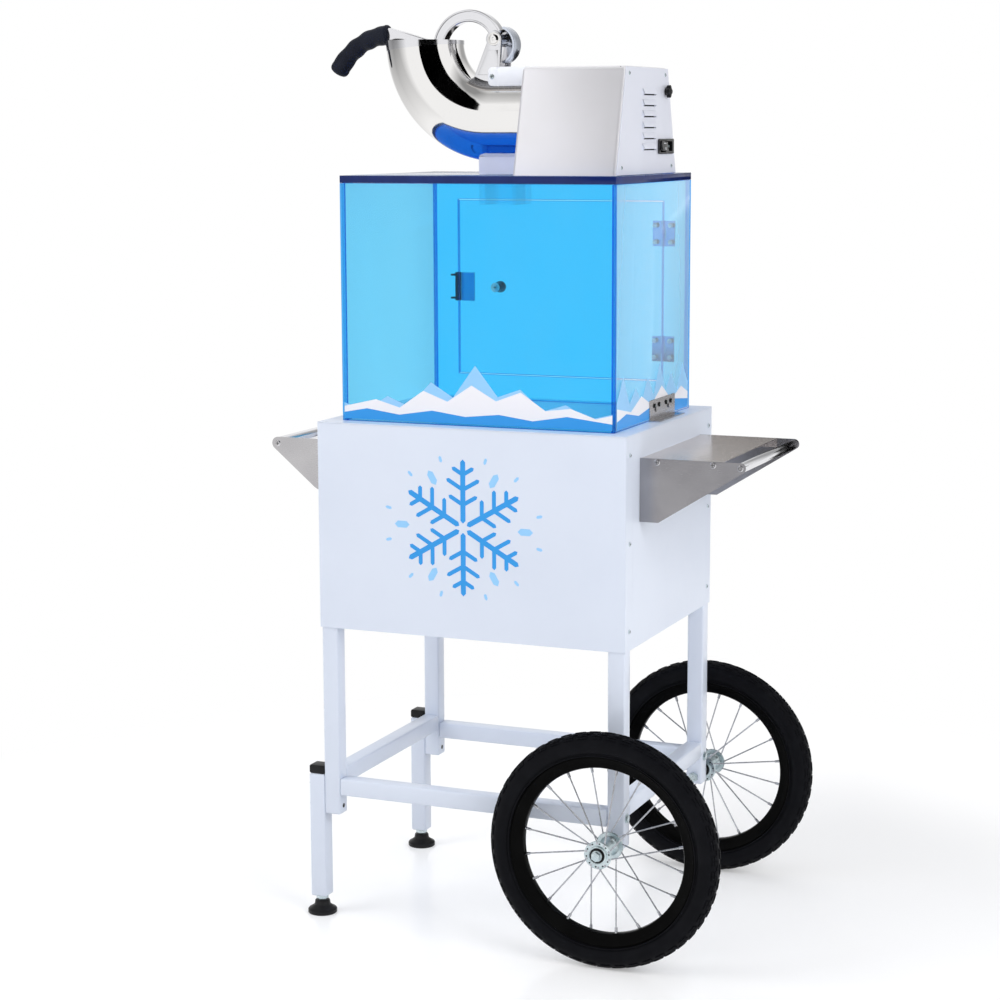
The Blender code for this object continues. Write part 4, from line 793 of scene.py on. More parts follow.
WHITE_COAT = Paint("white_powder_coat", (0.73, 0.785, 0.895), (0.67, 0.725, 0.84))
STAINLESS = Brushed("stainless_sheet", (0.56, 0.55, 0.56), (0.44, 0.43, 0.45), 0.26, 0.1,
                    (1.0, 1.0, 22.0))
STAINLESS_ALONG = Brushed("stainless_shelf", (0.72, 0.65, 0.61), (0.58, 0.53, 0.5), 0.24,
                          0.1, (22.0, 1.0, 1.0))
SHELF_PLATE = Brushed("stainless_bracket", (0.34, 0.335, 0.35), (0.24, 0.235, 0.25), 0.24,
                      0.08, (1.0, 1.0, 22.0))
HOUSING_SHEET = Brushed("housing_sheet", (0.84, 0.83, 0.86), (0.81, 0.8, 0.82), 0.3, 0.02,
                        (14.0, 14.0, 1.0), 0.000004, 0.45)
END_SHEET = Brushed("housing_end_sheet", (0.83, 0.85, 0.94), (0.79, 0.81, 0.9), 0.36, 0.03,
                    (1.0, 14.0, 1.0), 0.000004, 0.35)
SADDLE = Brushed("saddle_steel", (0.36, 0.36, 0.37), (0.24, 0.24, 0.25), 0.26, 0.06,
                 (14.0, 1.0, 1.0))
NECK_MOULD = Moulded("neck_moulding", (0.99, 0.99, 0.98), (0.95, 0.95, 0.94), 0.38, 1800.0,
                     0.00002, 0.1)
MIRROR = Polish("mirror_steel", (0.9, 0.89, 0.88), (0.84, 0.83, 0.82), 0.04, 0.00004)
BRIGHT = Polish("bright_steel", (0.84, 0.84, 0.86), (0.74, 0.74, 0.77), 0.12)
# The blue tint of the shoe's steel is painted shading: it stands for the bluish shade on the
# polished shoe.
SHOE = Polish("shoe_steel", (0.72, 0.76, 0.84), (0.56, 0.61, 0.72), 0.2)
BORE = Polish("bore_steel", (0.58, 0.56, 0.54), (0.46, 0.44, 0.43), 0.22)
ZINC = Plated("zinc_plating", (0.66, 0.74, 0.76), (0.46, 0.55, 0.58))
SPOKE_WIRE = Plated("spoke_wire", (0.52, 0.53, 0.56), (0.34, 0.35, 0.38), 0.24)
RIM_COAT = Moulded("rim_black_coat", (0.002, 0.002, 0.002), (0.004, 0.004, 0.004), 0.16,
                   2200.0, 0.00001, 0.0, 0.03)
TYRE = Moulded("tyre_skin", (0.0035, 0.0037, 0.0052), (0.0065, 0.0068, 0.0088), 0.5, 900.0,
               0.0001, 0.0, 0.07)
GRIP = Moulded("grip_skin", (0.0085, 0.0105, 0.019), (0.014, 0.017, 0.028), 0.5, 1300.0,
               0.00016, 0.0, 0.14)
BLACK_CAP = Moulded("black_moulding", (0.006, 0.006, 0.007), (0.013, 0.013, 0.014), 0.4,
                    1500.0, 0.00006, 0.0, 0.22)
BLACK_GLOSS = Moulded("gloss_moulding", (0.007, 0.007, 0.008), (0.013, 0.013, 0.015), 0.2,
                      2500.0, 0.00001, 0.5)
WHITE_MOULD = Moulded("white_moulding", (0.93, 0.95, 0.99), (0.88, 0.9, 0.95), 0.34, 1800.0,
                      0.00002, 0.2)
CASTING = Moulded("motor_paint", (0.2, 0.21, 0.23), (0.13, 0.13, 0.15), 0.52, 700.0, 0.0002)
# The pale body colours of these sheets are painted sheen: they stand for the acrylic's reflection
# at a slant.
FRONT_SHEET = ClearSheet("acrylic_front", (0.5, 0.88, 1.0))
SIDE_SHEET = ClearSheet("acrylic_side", (0.9, 0.96, 1.0), (0.66, 0.83, 1.0), 0.03, 0.92)
BACK_SHEET = ClearSheet("acrylic_back", (0.44, 0.84, 1.0))
LID_SHEET = ClearSheet("acrylic_lid", (0.11, 0.4, 0.84), (0.5, 0.57, 0.82))
EDGE_SHEET = ClearSheet("acrylic_edge", (0.2, 0.55, 0.92), (0.02, 0.2, 0.66), 0.35)
CHUTE_SHEET = ClearSheet("acrylic_chute", (0.95, 0.985, 1.0), (0.8, 0.94, 1.0), 0.06)
NAVY_EDGE = Moulded("acrylic_lid_edge", (0.007, 0.018, 0.11), (0.01, 0.026, 0.15), 0.16,
                    600.0, 0.00001, 0.0, 0.25)
BLUE_PRINT = Paint("print_blue", (0.012, 0.31, 0.79), (0.018, 0.34, 0.82), 0.4, 60.0, 0.000002)
SKY_PRINT = Paint("print_sky", (0.3, 0.62, 0.96), (0.33, 0.65, 0.97), 0.4, 60.0, 0.000002)
WHITE_PRINT = Paint("print_white", (0.9, 0.89, 0.93), (0.86, 0.86, 0.91), 0.4, 60.0, 0.000002)


def hexagon_head(mesh: Mesh, seat: Point, axis: Axis, width: float, height: float,
                 washer: float = 0.0, finish: int = 0) -> None:
    """Add a chamfered hexagon head, with a washer under it if one is asked for.

    Args:
        mesh: Mesh that takes the head.
        seat: Middle of the head's seat.
        axis: Direction that the head stands out in.
        width: Radius over the corners.
        height: Height over the seat, washer included.
        washer: Radius of the washer, or 0.
        finish: Index of the material slot.
    """
    seat, run = Vector(seat), Vector(axis.value)
    if washer > 0:
        mesh.rod(seat, seat + run * height * 0.28, washer, 24, bevel=height * 0.06, finish=finish)
    mesh.rod(seat + run * height * 0.2, seat + run * height, width, 6, bevel=width * 0.09,
             finish=finish)


def pan_head(mesh: Mesh, seat: Point, axis: Axis, radius: float, height: float,
             finish: int = 0, painted_recess_shade: int = 0) -> None:
    """Add a domed screw head whose cross is a raised dark mark, painted shade standing for the
    hollow of the cross.

    Args:
        mesh: Mesh that takes the head.
        seat: Middle of the head's seat.
        axis: Direction that the head stands out in.
        radius: Radius of the head.
        height: Height of the dome.
        finish: Index of the material slot.
        painted_recess_shade: Index of the slot for the cross, which paints the shade in its
            hollow.
    """
    dome = [(0.0, height), (radius * 0.45, height * 0.94), (radius * 0.8, height * 0.66),
            (radius, height * 0.2), (radius, 0.0), (0.0, 0.0)]
    mesh.lathe(dome, axis, seat, 20, finish)
    place = Matrix.Translation(Vector(seat)) @ axis.turn()
    # Each bar is a raised dark mark: painted shade for the hollow of the cross.
    for size in ((radius * 0.58, radius * 0.12), (radius * 0.12, radius * 0.58)):
        reach = Vector((*size, height * 0.12))
        bar = mesh.block(-reach, reach, finish=painted_recess_shade)
        mesh.move(bar, place @ Matrix.Translation((0, 0, height * 0.92)))


@dataclass
class SteelFrame(Assembly):
    """Square-tube legs, rails, leg extensions and their end caps."""

    tube: float = 0.03
    wall: float = 0.002
    corner: float = 0.0032
    bolt_width: float = 0.0068
    bolt_height: float = 0.004
    washer: float = 0.0085
    rail_height: float = 0.24
    extension_bolt: float = 0.202
    painted_shade_hole_radius: float = 0.004
    spare_height: float = 0.203

    def length_of_tube(self, mesh: Mesh, low: Point, high: Point, open_foot: bool) -> None:
        """Add a square tube with rounded corners.

        Args:
            mesh: Mesh that takes the tube.
            low: Lowest corner.
            high: Highest corner.
            open_foot: True opens its lower end.
        """
        verts = mesh.block(low, high, self.corner, 3)
        if not open_foot:
            return
        floor = min(vert.co.z for vert in verts)
        faces = [
            face for face in {face for vert in verts for face in vert.link_faces}
            if face.normal.z < -0.9 or all(abs(v.co.z - floor) < MERGE for v in face.verts)
        ]
        bmesh.ops.inset_region(mesh.bm, faces=faces, thickness=self.wall, use_even_offset=True)
        mesh.push(faces, (0, 0, self.tube * 1.5))
        bmesh.ops.delete(mesh.bm, geom=faces, context="FACES_ONLY")

    def build_legs(self) -> None:
        """Build the four legs, with the rail bolts of the right ones and a black disc on the left
        ones that paints the shade of a spare hole.
        """
        for side in ("left", "right"):
            for face in ("front", "back"):
                node = f"leg_{face}_{side}"
                low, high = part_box(node)
                mesh = Mesh()
                end = (low.x + self.tube, high.y, high.z)
                self.length_of_tube(mesh, low, end, True)
                middle = (low.y + high.y) / 2
                if side == "right":
                    seat = (end[0], middle, self.rail_height)
                    hexagon_head(mesh, seat, Axis.X, self.bolt_width, self.bolt_height,
                                 self.washer, 1)
                else:
                    # A black disc stands for the spare hole: painted shade, not a real hollow.
                    start = Vector((end[0] - 0.0005, middle, self.spare_height))
                    mesh.rod(start, start + Vector((0.0008, 0, 0)), self.painted_shade_hole_radius, 20, finish=2)
                self.dress(node + "_tube", mesh, (WHITE_COAT, ZINC, BLACK_CAP),
                           Slot.WHITE_PAINT, (node,))

    def build_rails(self) -> None:
        """Build the two long rails and the two side rails."""
        for name in ("front", "back", "left", "right"):
            node = f"rail_{name}"
            mesh = Mesh()
            self.length_of_tube(mesh, *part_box(node), False)
            self.dress(node + "_tube", mesh, (WHITE_COAT,), Slot.WHITE_PAINT, (node,))

    def build_extensions(self) -> None:
        """Build the bolted leg extensions with their push-in caps."""
        for face in ("front", "back"):
            node = f"extension_{face}"
            low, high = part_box(node)
            mesh = Mesh()
            start = (high.x - self.tube, low.y, low.z)
            self.length_of_tube(mesh, start, high, False)
            middle = (low.y + high.y) / 2
            for height in (self.rail_height, self.extension_bolt):
                hexagon_head(mesh, (start[0], middle, height), Axis.MINUS_X,
                             self.bolt_width, self.bolt_height - 0.0001, self.washer, 1)
            self.dress(node + "_tube", mesh, (WHITE_COAT, ZINC), Slot.WHITE_PAINT, (node,))
            self.build_cap(face, high.z)

    def build_cap(self, face: str, seat: float) -> None:
        """Build the cap that closes an extension's top.

        Args:
            face: "front" or "back".
            seat: Height of the tube's end.
        """
        node = f"extension_cap_{face}"
        low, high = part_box(node)
        mesh = Mesh()
        mesh.block((low.x, low.y, seat + 0.0002), high, 0.0028, 3)
        inset = self.wall + 0.0004
        mesh.block((low.x + inset, low.y + inset, low.z),
                   (high.x - inset, high.y - inset, seat + 0.003), 0.001, 1)
        self.dress(node + "_moulding", mesh, (BLACK_CAP,), Slot.BLACK_PLASTIC, (node,))

    def build(self) -> None:
        """Build every tube of the frame."""
        self.build_legs()
        self.build_rails()
        self.build_extensions()


@dataclass
class LevellingFoot(Assembly):
    """Round levelling foot with its lock nut and threaded stem."""

    face: str = "front"
    radius: float = 0.026
    pad_top: float = 0.024
    thread_foot: float = 0.033
    threads: int = 14

    def build(self) -> None:
        """Build one foot."""
        node = f"foot_{self.face}"
        low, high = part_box(node)
        centre = ((low.x + high.x) / 2, (low.y + high.y) / 2, 0.0)
        mesh = Mesh()
        pad = [(0, 0), (self.radius - 0.0012, 0), (self.radius, 0.0012), (self.radius, 0.0065),
               (self.radius - 0.0016, 0.0085), (0.0205, 0.0105), (0.0145, 0.015),
               (0.0132, 0.0225), (0.0118, self.pad_top), (0, self.pad_top)]
        mesh.lathe(pad, Axis.Z, centre, 48)
        seat = Vector(centre) + Vector((0, 0, self.pad_top))
        hexagon_head(mesh, seat, Axis.Z, 0.0108, 0.0087, finish=1)
        pitch = (high.z - self.thread_foot) / self.threads
        stem = [(0.0, 0.03), (0.0052, 0.03)]
        for turn in range(self.threads):
            foot = self.thread_foot + pitch * turn
            stem += [(0.005, foot), (0.006, foot + pitch / 2)]
        stem += [(0.0046, high.z), (0.0, high.z)]
        mesh.lathe(stem, Axis.Z, centre, 24, finish=1)
        self.dress(node + "_pad", mesh, (BLACK_CAP, ZINC), Slot.BLACK_PLASTIC, (node,))


@dataclass
class Cabinet(Assembly):
    """Sheet-metal cabinet with its panel screws and the crystal emblem."""

    screw_radius: float = 0.0042
    screw_height: float = 0.002
    screw_rows: tuple[float, ...] = (0.562, 0.7105, 0.859)
    screw_line: float = 0.211
    emblem_centre: tuple[float, float] = (-0.0395, 0.722)
    emblem_reach: float = 0.118
    arm_width: float = 0.0046
    twig_width: float = 0.0036
    print_depth: float = 0.00025
    print_step: float = 0.00001

    def build_screws(self) -> None:
        """Build the screw heads along both flanges of both sides."""
        mesh = Mesh()
        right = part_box("cabinet_side_right")[1].x
        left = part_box("cabinet_side_left")[0].x
        for x, axis in ((right, Axis.X), (left, Axis.MINUS_X)):
            for y in (-self.screw_line, self.screw_line):
                for z in self.screw_rows:
                    pan_head(mesh, (x, y, z), axis, self.screw_radius, self.screw_height, 0, 1)
        self.dress("cabinet_screws", mesh, (ZINC, BLACK_CAP), Slot.ZINC)

    def bar(self, mesh: Mesh, start: Point, end: Point, width: float, finish: int,
            lift: int) -> None:
        """Add a printed bar with pointed ends to the front panel.

        Args:
            mesh: Mesh that takes the bar.
            start: (x, z) of its first end.
            end: (x, z) of its far end.
            width: Half width.
            finish: Index of the material slot.
            lift: How many bars lie under it.
        """
        first, last = Vector(start), Vector(end)
        run = (last - first).normalized()
        side = Vector((-run.y, run.x)) * width
        tip = run * width
        corners = [first, first + tip + side, last - tip + side, last, last - tip - side,
                   first + tip - side]
        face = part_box("cabinet_front")[0].y
        outline = [(corner.x, face, corner.y) for corner in corners]
        mesh.panel(outline, (0, -self.print_depth - self.print_step * lift, 0), finish)

    def build_emblem(self) -> None:
        """Build a plain six-armed ice crystal with a ring of flakes round it."""
        mesh = Mesh()
        middle = Vector(self.emblem_centre)
        reach = self.emblem_reach
        for arm in range(6):
            angle = QUARTER + arm * TURN / 6
            run = Vector((math.cos(angle), math.sin(angle)))
            self.bar(mesh, middle + run * 0.008, middle + run * reach, self.arm_width, 0, 12)
            for rank, (share, length) in enumerate(((0.34, 0.26), (0.56, 0.3), (0.78, 0.2))):
                root = middle + run * reach * share
                for lean in (-1, 1):
                    slant = angle + lean * TURN / 6
                    way = Vector((math.cos(slant), math.sin(slant)))
                    self.bar(mesh, root, root + way * reach * length, self.twig_width, 0,
                             3 + 2 * rank + (lean > 0))
            for turn, radius, size in ((0.5, 0.82, 0.014), (0.28, 1.03, 0.006),
                                       (0.72, 1.03, 0.006)):
                around = angle + turn * TURN / 6
                way = Vector((math.cos(around), math.sin(around)))
                spot = middle + Vector((way.x * 1.18, way.y)) * reach * radius
                away = way * size
                self.bar(mesh, spot - away, spot + away, size * 0.42, 1, 0)
        self.dress("cabinet_emblem", mesh, (BLUE_PRINT, SKY_PRINT), Slot.WHITE_PAINT)

    def build(self) -> None:
        """Coat the panels and add what is fixed to them."""
        self.coat(WHITE_COAT, "cabinet_front", "cabinet_back", "cabinet_side_left",
                  "cabinet_side_right", "cabinet_top", "cabinet_bottom")
        self.build_screws()
        self.build_emblem()


@dataclass
class BarBetweenBrackets(Assembly):
    """Round bar held by two bracket plates: the push handle or the shelf's rail."""

    bar_node: str = "handle_tube"
    brackets: tuple[str, str] = ("handle_bracket_front", "handle_bracket_back")
    metal: Finish = STAINLESS
    screws: tuple[tuple[float, float], ...] = ()
    screw_radius: float = 0.0052
    screw_height: float = 0.0019
    plate: float = 0.0018

    def build_bar(self) -> None:
        """Build the bar with rounded ends."""
        low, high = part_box(self.bar_node)
        middle = (low + high) / 2
        mesh = Mesh()
        mesh.rod((middle.x, low.y, middle.z), (middle.x, high.y, middle.z),
                 (high.z - low.z) / 2, 48, bevel=0.001)
        self.dress(self.bar_node + "_round", mesh, (BRIGHT,), Slot.STAINLESS, (self.bar_node,))

    def build_screws(self) -> None:
        """Build the screw heads on the outer faces of both brackets."""
        mesh = Mesh()
        for rank, (node, side) in enumerate(zip(self.brackets, (-1, 1))):
            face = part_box(node)[rank].y - side * self.plate
            for x, z in self.screws:
                pan_head(mesh, (x, face, z), Axis.facing(side), self.screw_radius,
                         self.screw_height, 0, 1)
        self.dress(self.bar_node + "_screws", mesh, (BRIGHT, BLACK_CAP), Slot.STAINLESS)

    def build(self) -> None:
        """Build the bar and the screws, and coat the brackets."""
        self.coat(self.metal, *self.brackets)
        self.build_bar()
        self.build_screws()


@dataclass
class SideShelf(BarBetweenBrackets):
    """Folded stainless shelf between two brackets, with a rail at its end."""

    bar_node: str = "shelf_bar"
    brackets: tuple[str, str] = ("shelf_bracket_front", "shelf_bracket_back")
    screws: tuple[tuple[float, float], ...] = ((0.42845, 0.84), (0.28425, 0.843), (0.3817, 0.843))
    metal: Finish = SHELF_PLATE

    def build(self) -> None:
        """Build the rail and the screws, and coat the sheet and the brackets."""
        super().build()
        self.coat(STAINLESS_ALONG, "shelf_sheet")


@dataclass
class SpokedWheel(Assembly):
    """Pneumatic wheel: tyre, painted rim, wire spokes, hub and stub axle."""

    face: str = "front"
    side: int = -1
    radius: float = 0.203
    section: float = 0.0225
    spokes: int = 20
    lean: float = math.radians(24)
    hub_half: float = 0.033
    flange: float = 0.024
    tread: int = 72
    block: float = 0.0016
    crown: float = math.radians(66)
    rib_place: tuple[float, float] = (0.1655, 0.0188)
    rib: float = 0.001
    wire: float = 0.0013

    def centre(self) -> Vector:
        """Middle of the wheel."""
        low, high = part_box(f"wheel_{self.face}")
        return (low + high) / 2

    def build_tyre(self) -> None:
        """Build the tyre with raised tread blocks and sidewall ribs."""
        mesh = Mesh()
        centre = self.centre()
        middle = self.radius - self.section
        spread = math.radians(141)
        profile = []
        steps = 22
        for step in range(steps + 1):
            angle = spread * (1 - 2 * step / steps)
            swell = self.section - self.block
            profile.append((middle + swell * math.cos(angle), swell * math.sin(angle)))
        verts = mesh.lathe(profile, Axis.Y, centre, self.tread * 2, closed=True)
        faces = {face for vert in verts for face in vert.link_faces}
        blocks = []
        for face in faces:
            offset = face.calc_center_median() - centre
            out = math.hypot(offset.x, offset.z)
            across = math.atan2(offset.y, out - middle)
            if abs(across) > self.crown:
                continue
            row = int(round(across / (2 * spread / steps) - 0.5))
            around = math.atan2(offset.z, offset.x) / TURN * self.tread * 2
            cell = int(math.floor(around + 0.001)) + row // 2
            if cell % 3 != 0 and row % 4 != 3:
                blocks.append(face)
        bmesh.ops.inset_individual(mesh.bm, faces=blocks, thickness=0.0006, depth=0.0)
        grown = bmesh.ops.extrude_discrete_faces(mesh.bm, faces=blocks)["faces"]
        for face in grown:
            offset = face.calc_center_median() - centre
            flat = Vector((offset.x, 0, offset.z))
            hoop = flat.normalized() * middle
            away = (offset - hoop).normalized() * self.block * 0.96
            bmesh.ops.translate(mesh.bm, verts=face.verts, vec=away)
        reach, height = self.rib_place
        for side in (-1, 1):
            rib = [(reach + self.rib * math.cos(turn * TURN / 6),
                    side * height + self.rib * math.sin(turn * TURN / 6)) for turn in range(6)]
            mesh.lathe(rib, Axis.Y, centre, 96, closed=True)
        self.dress(f"tyre_{self.face}_tread", mesh, (TYRE,), Slot.TYRE,
                   (f"tyre_{self.face}",), smooth=28)

    def build_rim(self) -> None:
        """Build the rim, the spokes and the hub as one piece."""
        mesh = Mesh()
        centre = self.centre()
        half = [(0.1652, 0.0126), (0.1638, 0.015), (0.1616, 0.0156), (0.1592, 0.0146),
                (0.154, 0.0112), (0.148, 0.0098), (0.1436, 0.008), (0.1425, 0.0055)]
        rim = half + [(reach, -height) for reach, height in reversed(half)]
        mesh.lathe(rim, Axis.Y, centre, 112, 0, closed=True)
        self.add_spokes(mesh, centre)
        self.add_hub(mesh, centre)
        self.dress(f"wheel_{self.face}_spoked", mesh, (RIM_COAT, SPOKE_WIRE, ZINC, BLACK_CAP),
                   Slot.ZINC, (f"wheel_{self.face}",))

    def add_spokes(self, mesh: Mesh, centre: Vector) -> None:
        """Add the wire spokes, their heads and their nipples.

        Args:
            mesh: Mesh that takes them.
            centre: Middle of the wheel.
        """
        plane = self.hub_half - 0.0045
        root, tip = self.flange - 0.003, 0.1432
        for index in range(self.spokes):
            flange = 1 if index % 2 else -1
            at_rim = TURN * (index + 0.5) / self.spokes
            at_hub = at_rim - flange * self.side * self.lean
            start = centre + upright(at_hub, root, flange * plane)
            end = centre + upright(at_rim, tip)
            run = (end - start).normalized()
            mesh.rod(start, end, self.wire, 8, finish=1)
            mesh.rod(end - run * 0.01, end + run * 0.001, 0.0023, 10, tip=0.0026, finish=1)
            head = start + Vector((0, flange * 0.0022, 0))
            mesh.rod(start - Vector((0, flange * 0.001, 0)), head, 0.0021, 10, finish=1)

    def add_hub(self, mesh: Mesh, centre: Vector) -> None:
        """Add the hub: waisted barrel, two flanges, two bearing cups, and black discs painted on
        the flanges as the shade of the spoke holes.

        Args:
            mesh: Mesh that takes the hub.
            centre: Middle of the wheel.
        """
        half = self.hub_half
        upper = [(0.0118, 0.0), (0.0122, half - 0.016), (0.015, half - 0.0085),
                 (0.017, half - 0.0062), (0.0232, half - 0.006), (0.024, half - 0.0052),
                 (0.024, half - 0.0036), (0.0232, half - 0.003), (0.0162, half - 0.003),
                 (0.016, half - 0.0006), (0.0152, half), (0.0138, half),
                 (0.0134, half - 0.0014), (0.007, half - 0.0014), (0.0066, half - 0.0002),
                 (0.0064, half - 0.01)]
        lower = [(radius, -height) for radius, height in reversed(upper)][:-1]
        mesh.lathe(upper[::-1] + lower[::-1], Axis.Y, centre, 56, 2, closed=True)
        for way in (-1, 1):
            face = centre + Vector((0, way * (half - 0.0012), 0))
            seal = [(0.007, -0.0002), (0.013, -0.0002), (0.013, 0.0003), (0.007, 0.0003)]
            mesh.lathe(seal, Axis.Y, face, 40, 3, closed=True)
            # Black discs stand for the spoke holes: painted shade, not hollows.
            for index in range(self.spokes // 2):
                turn = TURN * (index + 0.25) / (self.spokes // 2)
                hole = centre + upright(turn, 0.02, way * (half - 0.0031))
                mesh.rod(hole, hole + Vector((0, way * 0.0003, 0)), 0.0015, 12, finish=3)

    def build_axle(self) -> None:
        """Build the stub axle: bolt head, washer, shaft, collar and inner nut."""
        node = f"axle_{self.face}"
        low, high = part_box(node)
        centre = self.centre()
        out = Axis.facing(self.side)
        run = Vector(out.value)
        mesh = Mesh()
        hub_face = centre + run * (self.hub_half + 0.0003)
        back_face = centre - run * (self.hub_half + 0.0003)
        hexagon_head(mesh, hub_face, out, 0.0085, 0.0078, 0.0094)
        mesh.rod(back_face, hub_face, 0.0059, 20)
        leg = centre - run * (self.hub_half + 0.0215)
        mesh.rod(back_face, leg, 0.0094, 28, bevel=0.0008)
        end = high.y if self.side < 0 else low.y
        inner = Vector((centre.x, end, centre.z))
        mesh.rod(leg, inner, 0.0059, 20)
        hexagon_head(mesh, inner + run * 0.009, Axis.facing(-self.side), 0.0094, 0.0076)
        self.dress(node + "_bolt", mesh, (ZINC,), Slot.ZINC, (node,), body=Body.CART)

    def build(self) -> None:
        """Build one wheel and its stub axle."""
        self.build_tyre()
        self.build_rim()
        self.build_axle()


@dataclass
class IceCase(Assembly):
    """Clear case: acrylic sheets with polished edges, lid, print, neck and chute."""

    edge: float = 0.0007
    door_gap: float = 0.0015
    outlet: tuple[float, float] = OUTLET
    outlet_half: float = OUTLET_HALF
    bead: float = 0.0022
    print_gap: float = 0.0001
    margin: float = 0.004

    def sheet(self, name: str, low: Point, high: Point, normal: int, finishes: Sequence[Finish],
              replaces: Sequence[str], body: Body = Body.CART,
              hole: Optional[tuple[Point, Point]] = None) -> None:
        """Build one flat sheet whose edges have a finish of their own.

        Args:
            name: Name of the piece.
            low: Lowest corner.
            high: Highest corner.
            normal: Index of the axis across the sheet.
            finishes: Finish of the faces and of the edges.
            replaces: Nodes that the sheet stands for.
            body: Body that it rides on.
            hole: Lowest and highest corner of an opening through it.
        """
        low, high = Vector(low), Vector(high)
        across = [axis for axis in range(3) if axis != normal]
        corners = [Vector(low) for _ in range(4)]
        for corner, (u, v) in zip(corners, ((0, 0), (1, 0), (1, 1), (0, 1))):
            corner[across[0]] = (low, high)[u][across[0]]
            corner[across[1]] = (low, high)[v][across[1]]
        run = Vector((0, 0, 0))
        run[normal] = high[normal] - low[normal]
        mesh = Mesh()
        mesh.sheet(corners, run, (hole,) if hole else (), 0, self.edge)
        mesh.bm.normal_update()
        for face in mesh.bm.faces:
            face.material_index = 0 if abs(face.normal[normal]) > 0.98 else 1
        self.dress(name, mesh, finishes, Slot.ACRYLIC, replaces, body=body)

    def build_walls(self) -> None:
        """Build the four walls."""
        for name, normal, face in (("front", 1, FRONT_SHEET), ("left", 0, SIDE_SHEET),
                                   ("right", 0, SIDE_SHEET)):
            node = f"case_{name}"
            self.sheet(node + "_sheet", *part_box(node), normal, (face, EDGE_SHEET), (node,))
        low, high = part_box("case_back")
        start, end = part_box("door")
        gap = Vector((self.door_gap, 0, self.door_gap))
        self.sheet("case_back_sheet", low, high, 1, (BACK_SHEET, EDGE_SHEET), ("case_back",),
                   hole=(start - gap, end + gap))
        self.sheet("door_sheet", start, end, 1, (BACK_SHEET, EDGE_SHEET), ("door",), Body.DOOR)

    def build_lid(self) -> None:
        """Build the thick lid with the ice outlet."""
        low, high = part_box("case_lid")
        hole = (Vector((self.outlet[0], -self.outlet_half, 0)),
                Vector((self.outlet[1], self.outlet_half, 2)))
        self.sheet("case_lid_sheet", low, high, 2, (LID_SHEET, NAVY_EDGE), ("case_lid",),
                   hole=hole)

    def peaks(self, mesh: Mesh, face: str, height: float, shares: Sequence[float],
              shift: float, layer: int) -> None:
        """Print a jagged row of plain ice peaks along the foot of a wall.

        Args:
            mesh: Mesh that takes the print.
            face: "front" or "right".
            height: Height of the tallest peak.
            shares: Height of each corner of the row, as a share of that.
            shift: Sideways shift of the corners between the ends, as a share of their pitch.
            layer: How many prints lie under this one, and the index of its finish.
        """
        low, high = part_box(f"case_{face}")
        along = 0 if face == "front" else 1
        start = Vector((low.x, low.y, low.z) if face == "front" else (high.x, low.y, low.z))
        run = high[along] - low[along] - 2 * self.margin
        count = len(shares) - 1
        spots = [((index + (shift if 0 < index < count else 0.0)) / count, height * share)
                 for index, share in enumerate(shares)]
        outline = []
        for place, rise in spots + [(1.0, self.margin), (0.0, self.margin)]:
            corner = start.copy()
            corner[along] += self.margin + run * place
            corner.z += rise
            outline.append(corner)
        way = Vector((0, -1, 0)) if face == "front" else Vector((1, 0, 0))
        lift = self.print_gap * (layer + 1)
        mesh.panel([corner + way * lift for corner in outline], way * self.print_gap / 2, layer)

    def build_print(self) -> None:
        """Build the printed border: rows of plain ice peaks."""
        mesh = Mesh()
        for height, shift, layer, shares in (
            (0.104, 0.0, 0, (0.3, 0.18, 0.44, 0.28, 0.7, 0.46, 1.0, 0.5, 0.64, 0.3, 0.42,
                             0.2, 0.3)),
            (0.07, 0.35, 1, (0.36, 0.56, 0.38, 0.82, 0.58, 1.0, 0.64, 0.88, 0.46, 0.54,
                              0.32, 0.42)),
            (0.024, -0.3, 2, (0.62, 0.95, 0.6, 1.0, 0.66, 0.92, 0.58, 1.0, 0.62)),
        ):
            self.peaks(mesh, "front", height, shares, shift, layer)
        for height, shift, layer, shares in (
            (0.098, 0.0, 0, (0.5, 0.92, 0.42, 0.66, 0.4, 0.8, 0.44, 1.0, 0.46, 0.76, 0.4,
                             0.88, 0.5)),
            (0.056, 0.3, 1, (0.7, 0.48, 0.86, 0.5, 1.0, 0.46, 0.8, 0.55)),
            (0.026, -0.25, 2, (0.66, 1.0, 0.62, 0.95, 0.6, 1.0, 0.7)),
        ):
            self.peaks(mesh, "right", height, shares, shift, layer)
        self.dress("case_print", mesh, (SKY_PRINT, WHITE_PRINT, BLUE_PRINT), Slot.ACRYLIC)

    def build_seams(self) -> None:
        """Build the clear bead that glues the walls to the lid and to each other."""
        mesh = Mesh()
        low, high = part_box("case_front")
        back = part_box("case_back")[0].y
        bead = self.bead
        for x, run in ((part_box("case_left")[1].x, 1), (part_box("case_right")[0].x, -1)):
            for y, way in ((high.y, 1), (back, -1)):
                outline = [(x, y, low.z), (x + run * bead, y, low.z), (x, y + way * bead, low.z)]
                mesh.panel(outline, (0, 0, high.z - low.z - 0.0005))
        self.dress("case_glue_seams", mesh, (EDGE_SHEET,), Slot.ACRYLIC)

    def build_outlet(self) -> None:
        """Coat the neck on the lid and the chute under it."""
        self.coat(NECK_MOULD, "neck")
        self.coat(CHUTE_SHEET, "ice_chute")

    def build_bracket(self) -> None:
        """Coat the corner bracket on the right and add its screws."""
        self.coat(STAINLESS, "case_bracket")
        low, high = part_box("case_bracket")
        mesh = Mesh()
        for share in (0.18, 0.36, 0.64, 0.82):
            y = low.y + (high.y - low.y) * share
            pan_head(mesh, (low.x + 0.0023, y, low.z + 0.025), Axis.X, 0.0042, 0.0022, 0, 1)
        self.dress("case_bracket_screws", mesh, (BLACK_CAP, ZINC), Slot.ZINC)

    def build(self) -> None:
        """Build the whole case."""
        self.build_walls()
        self.build_lid()
        self.build_seams()
        self.build_print()
        self.build_outlet()
        self.build_bracket()


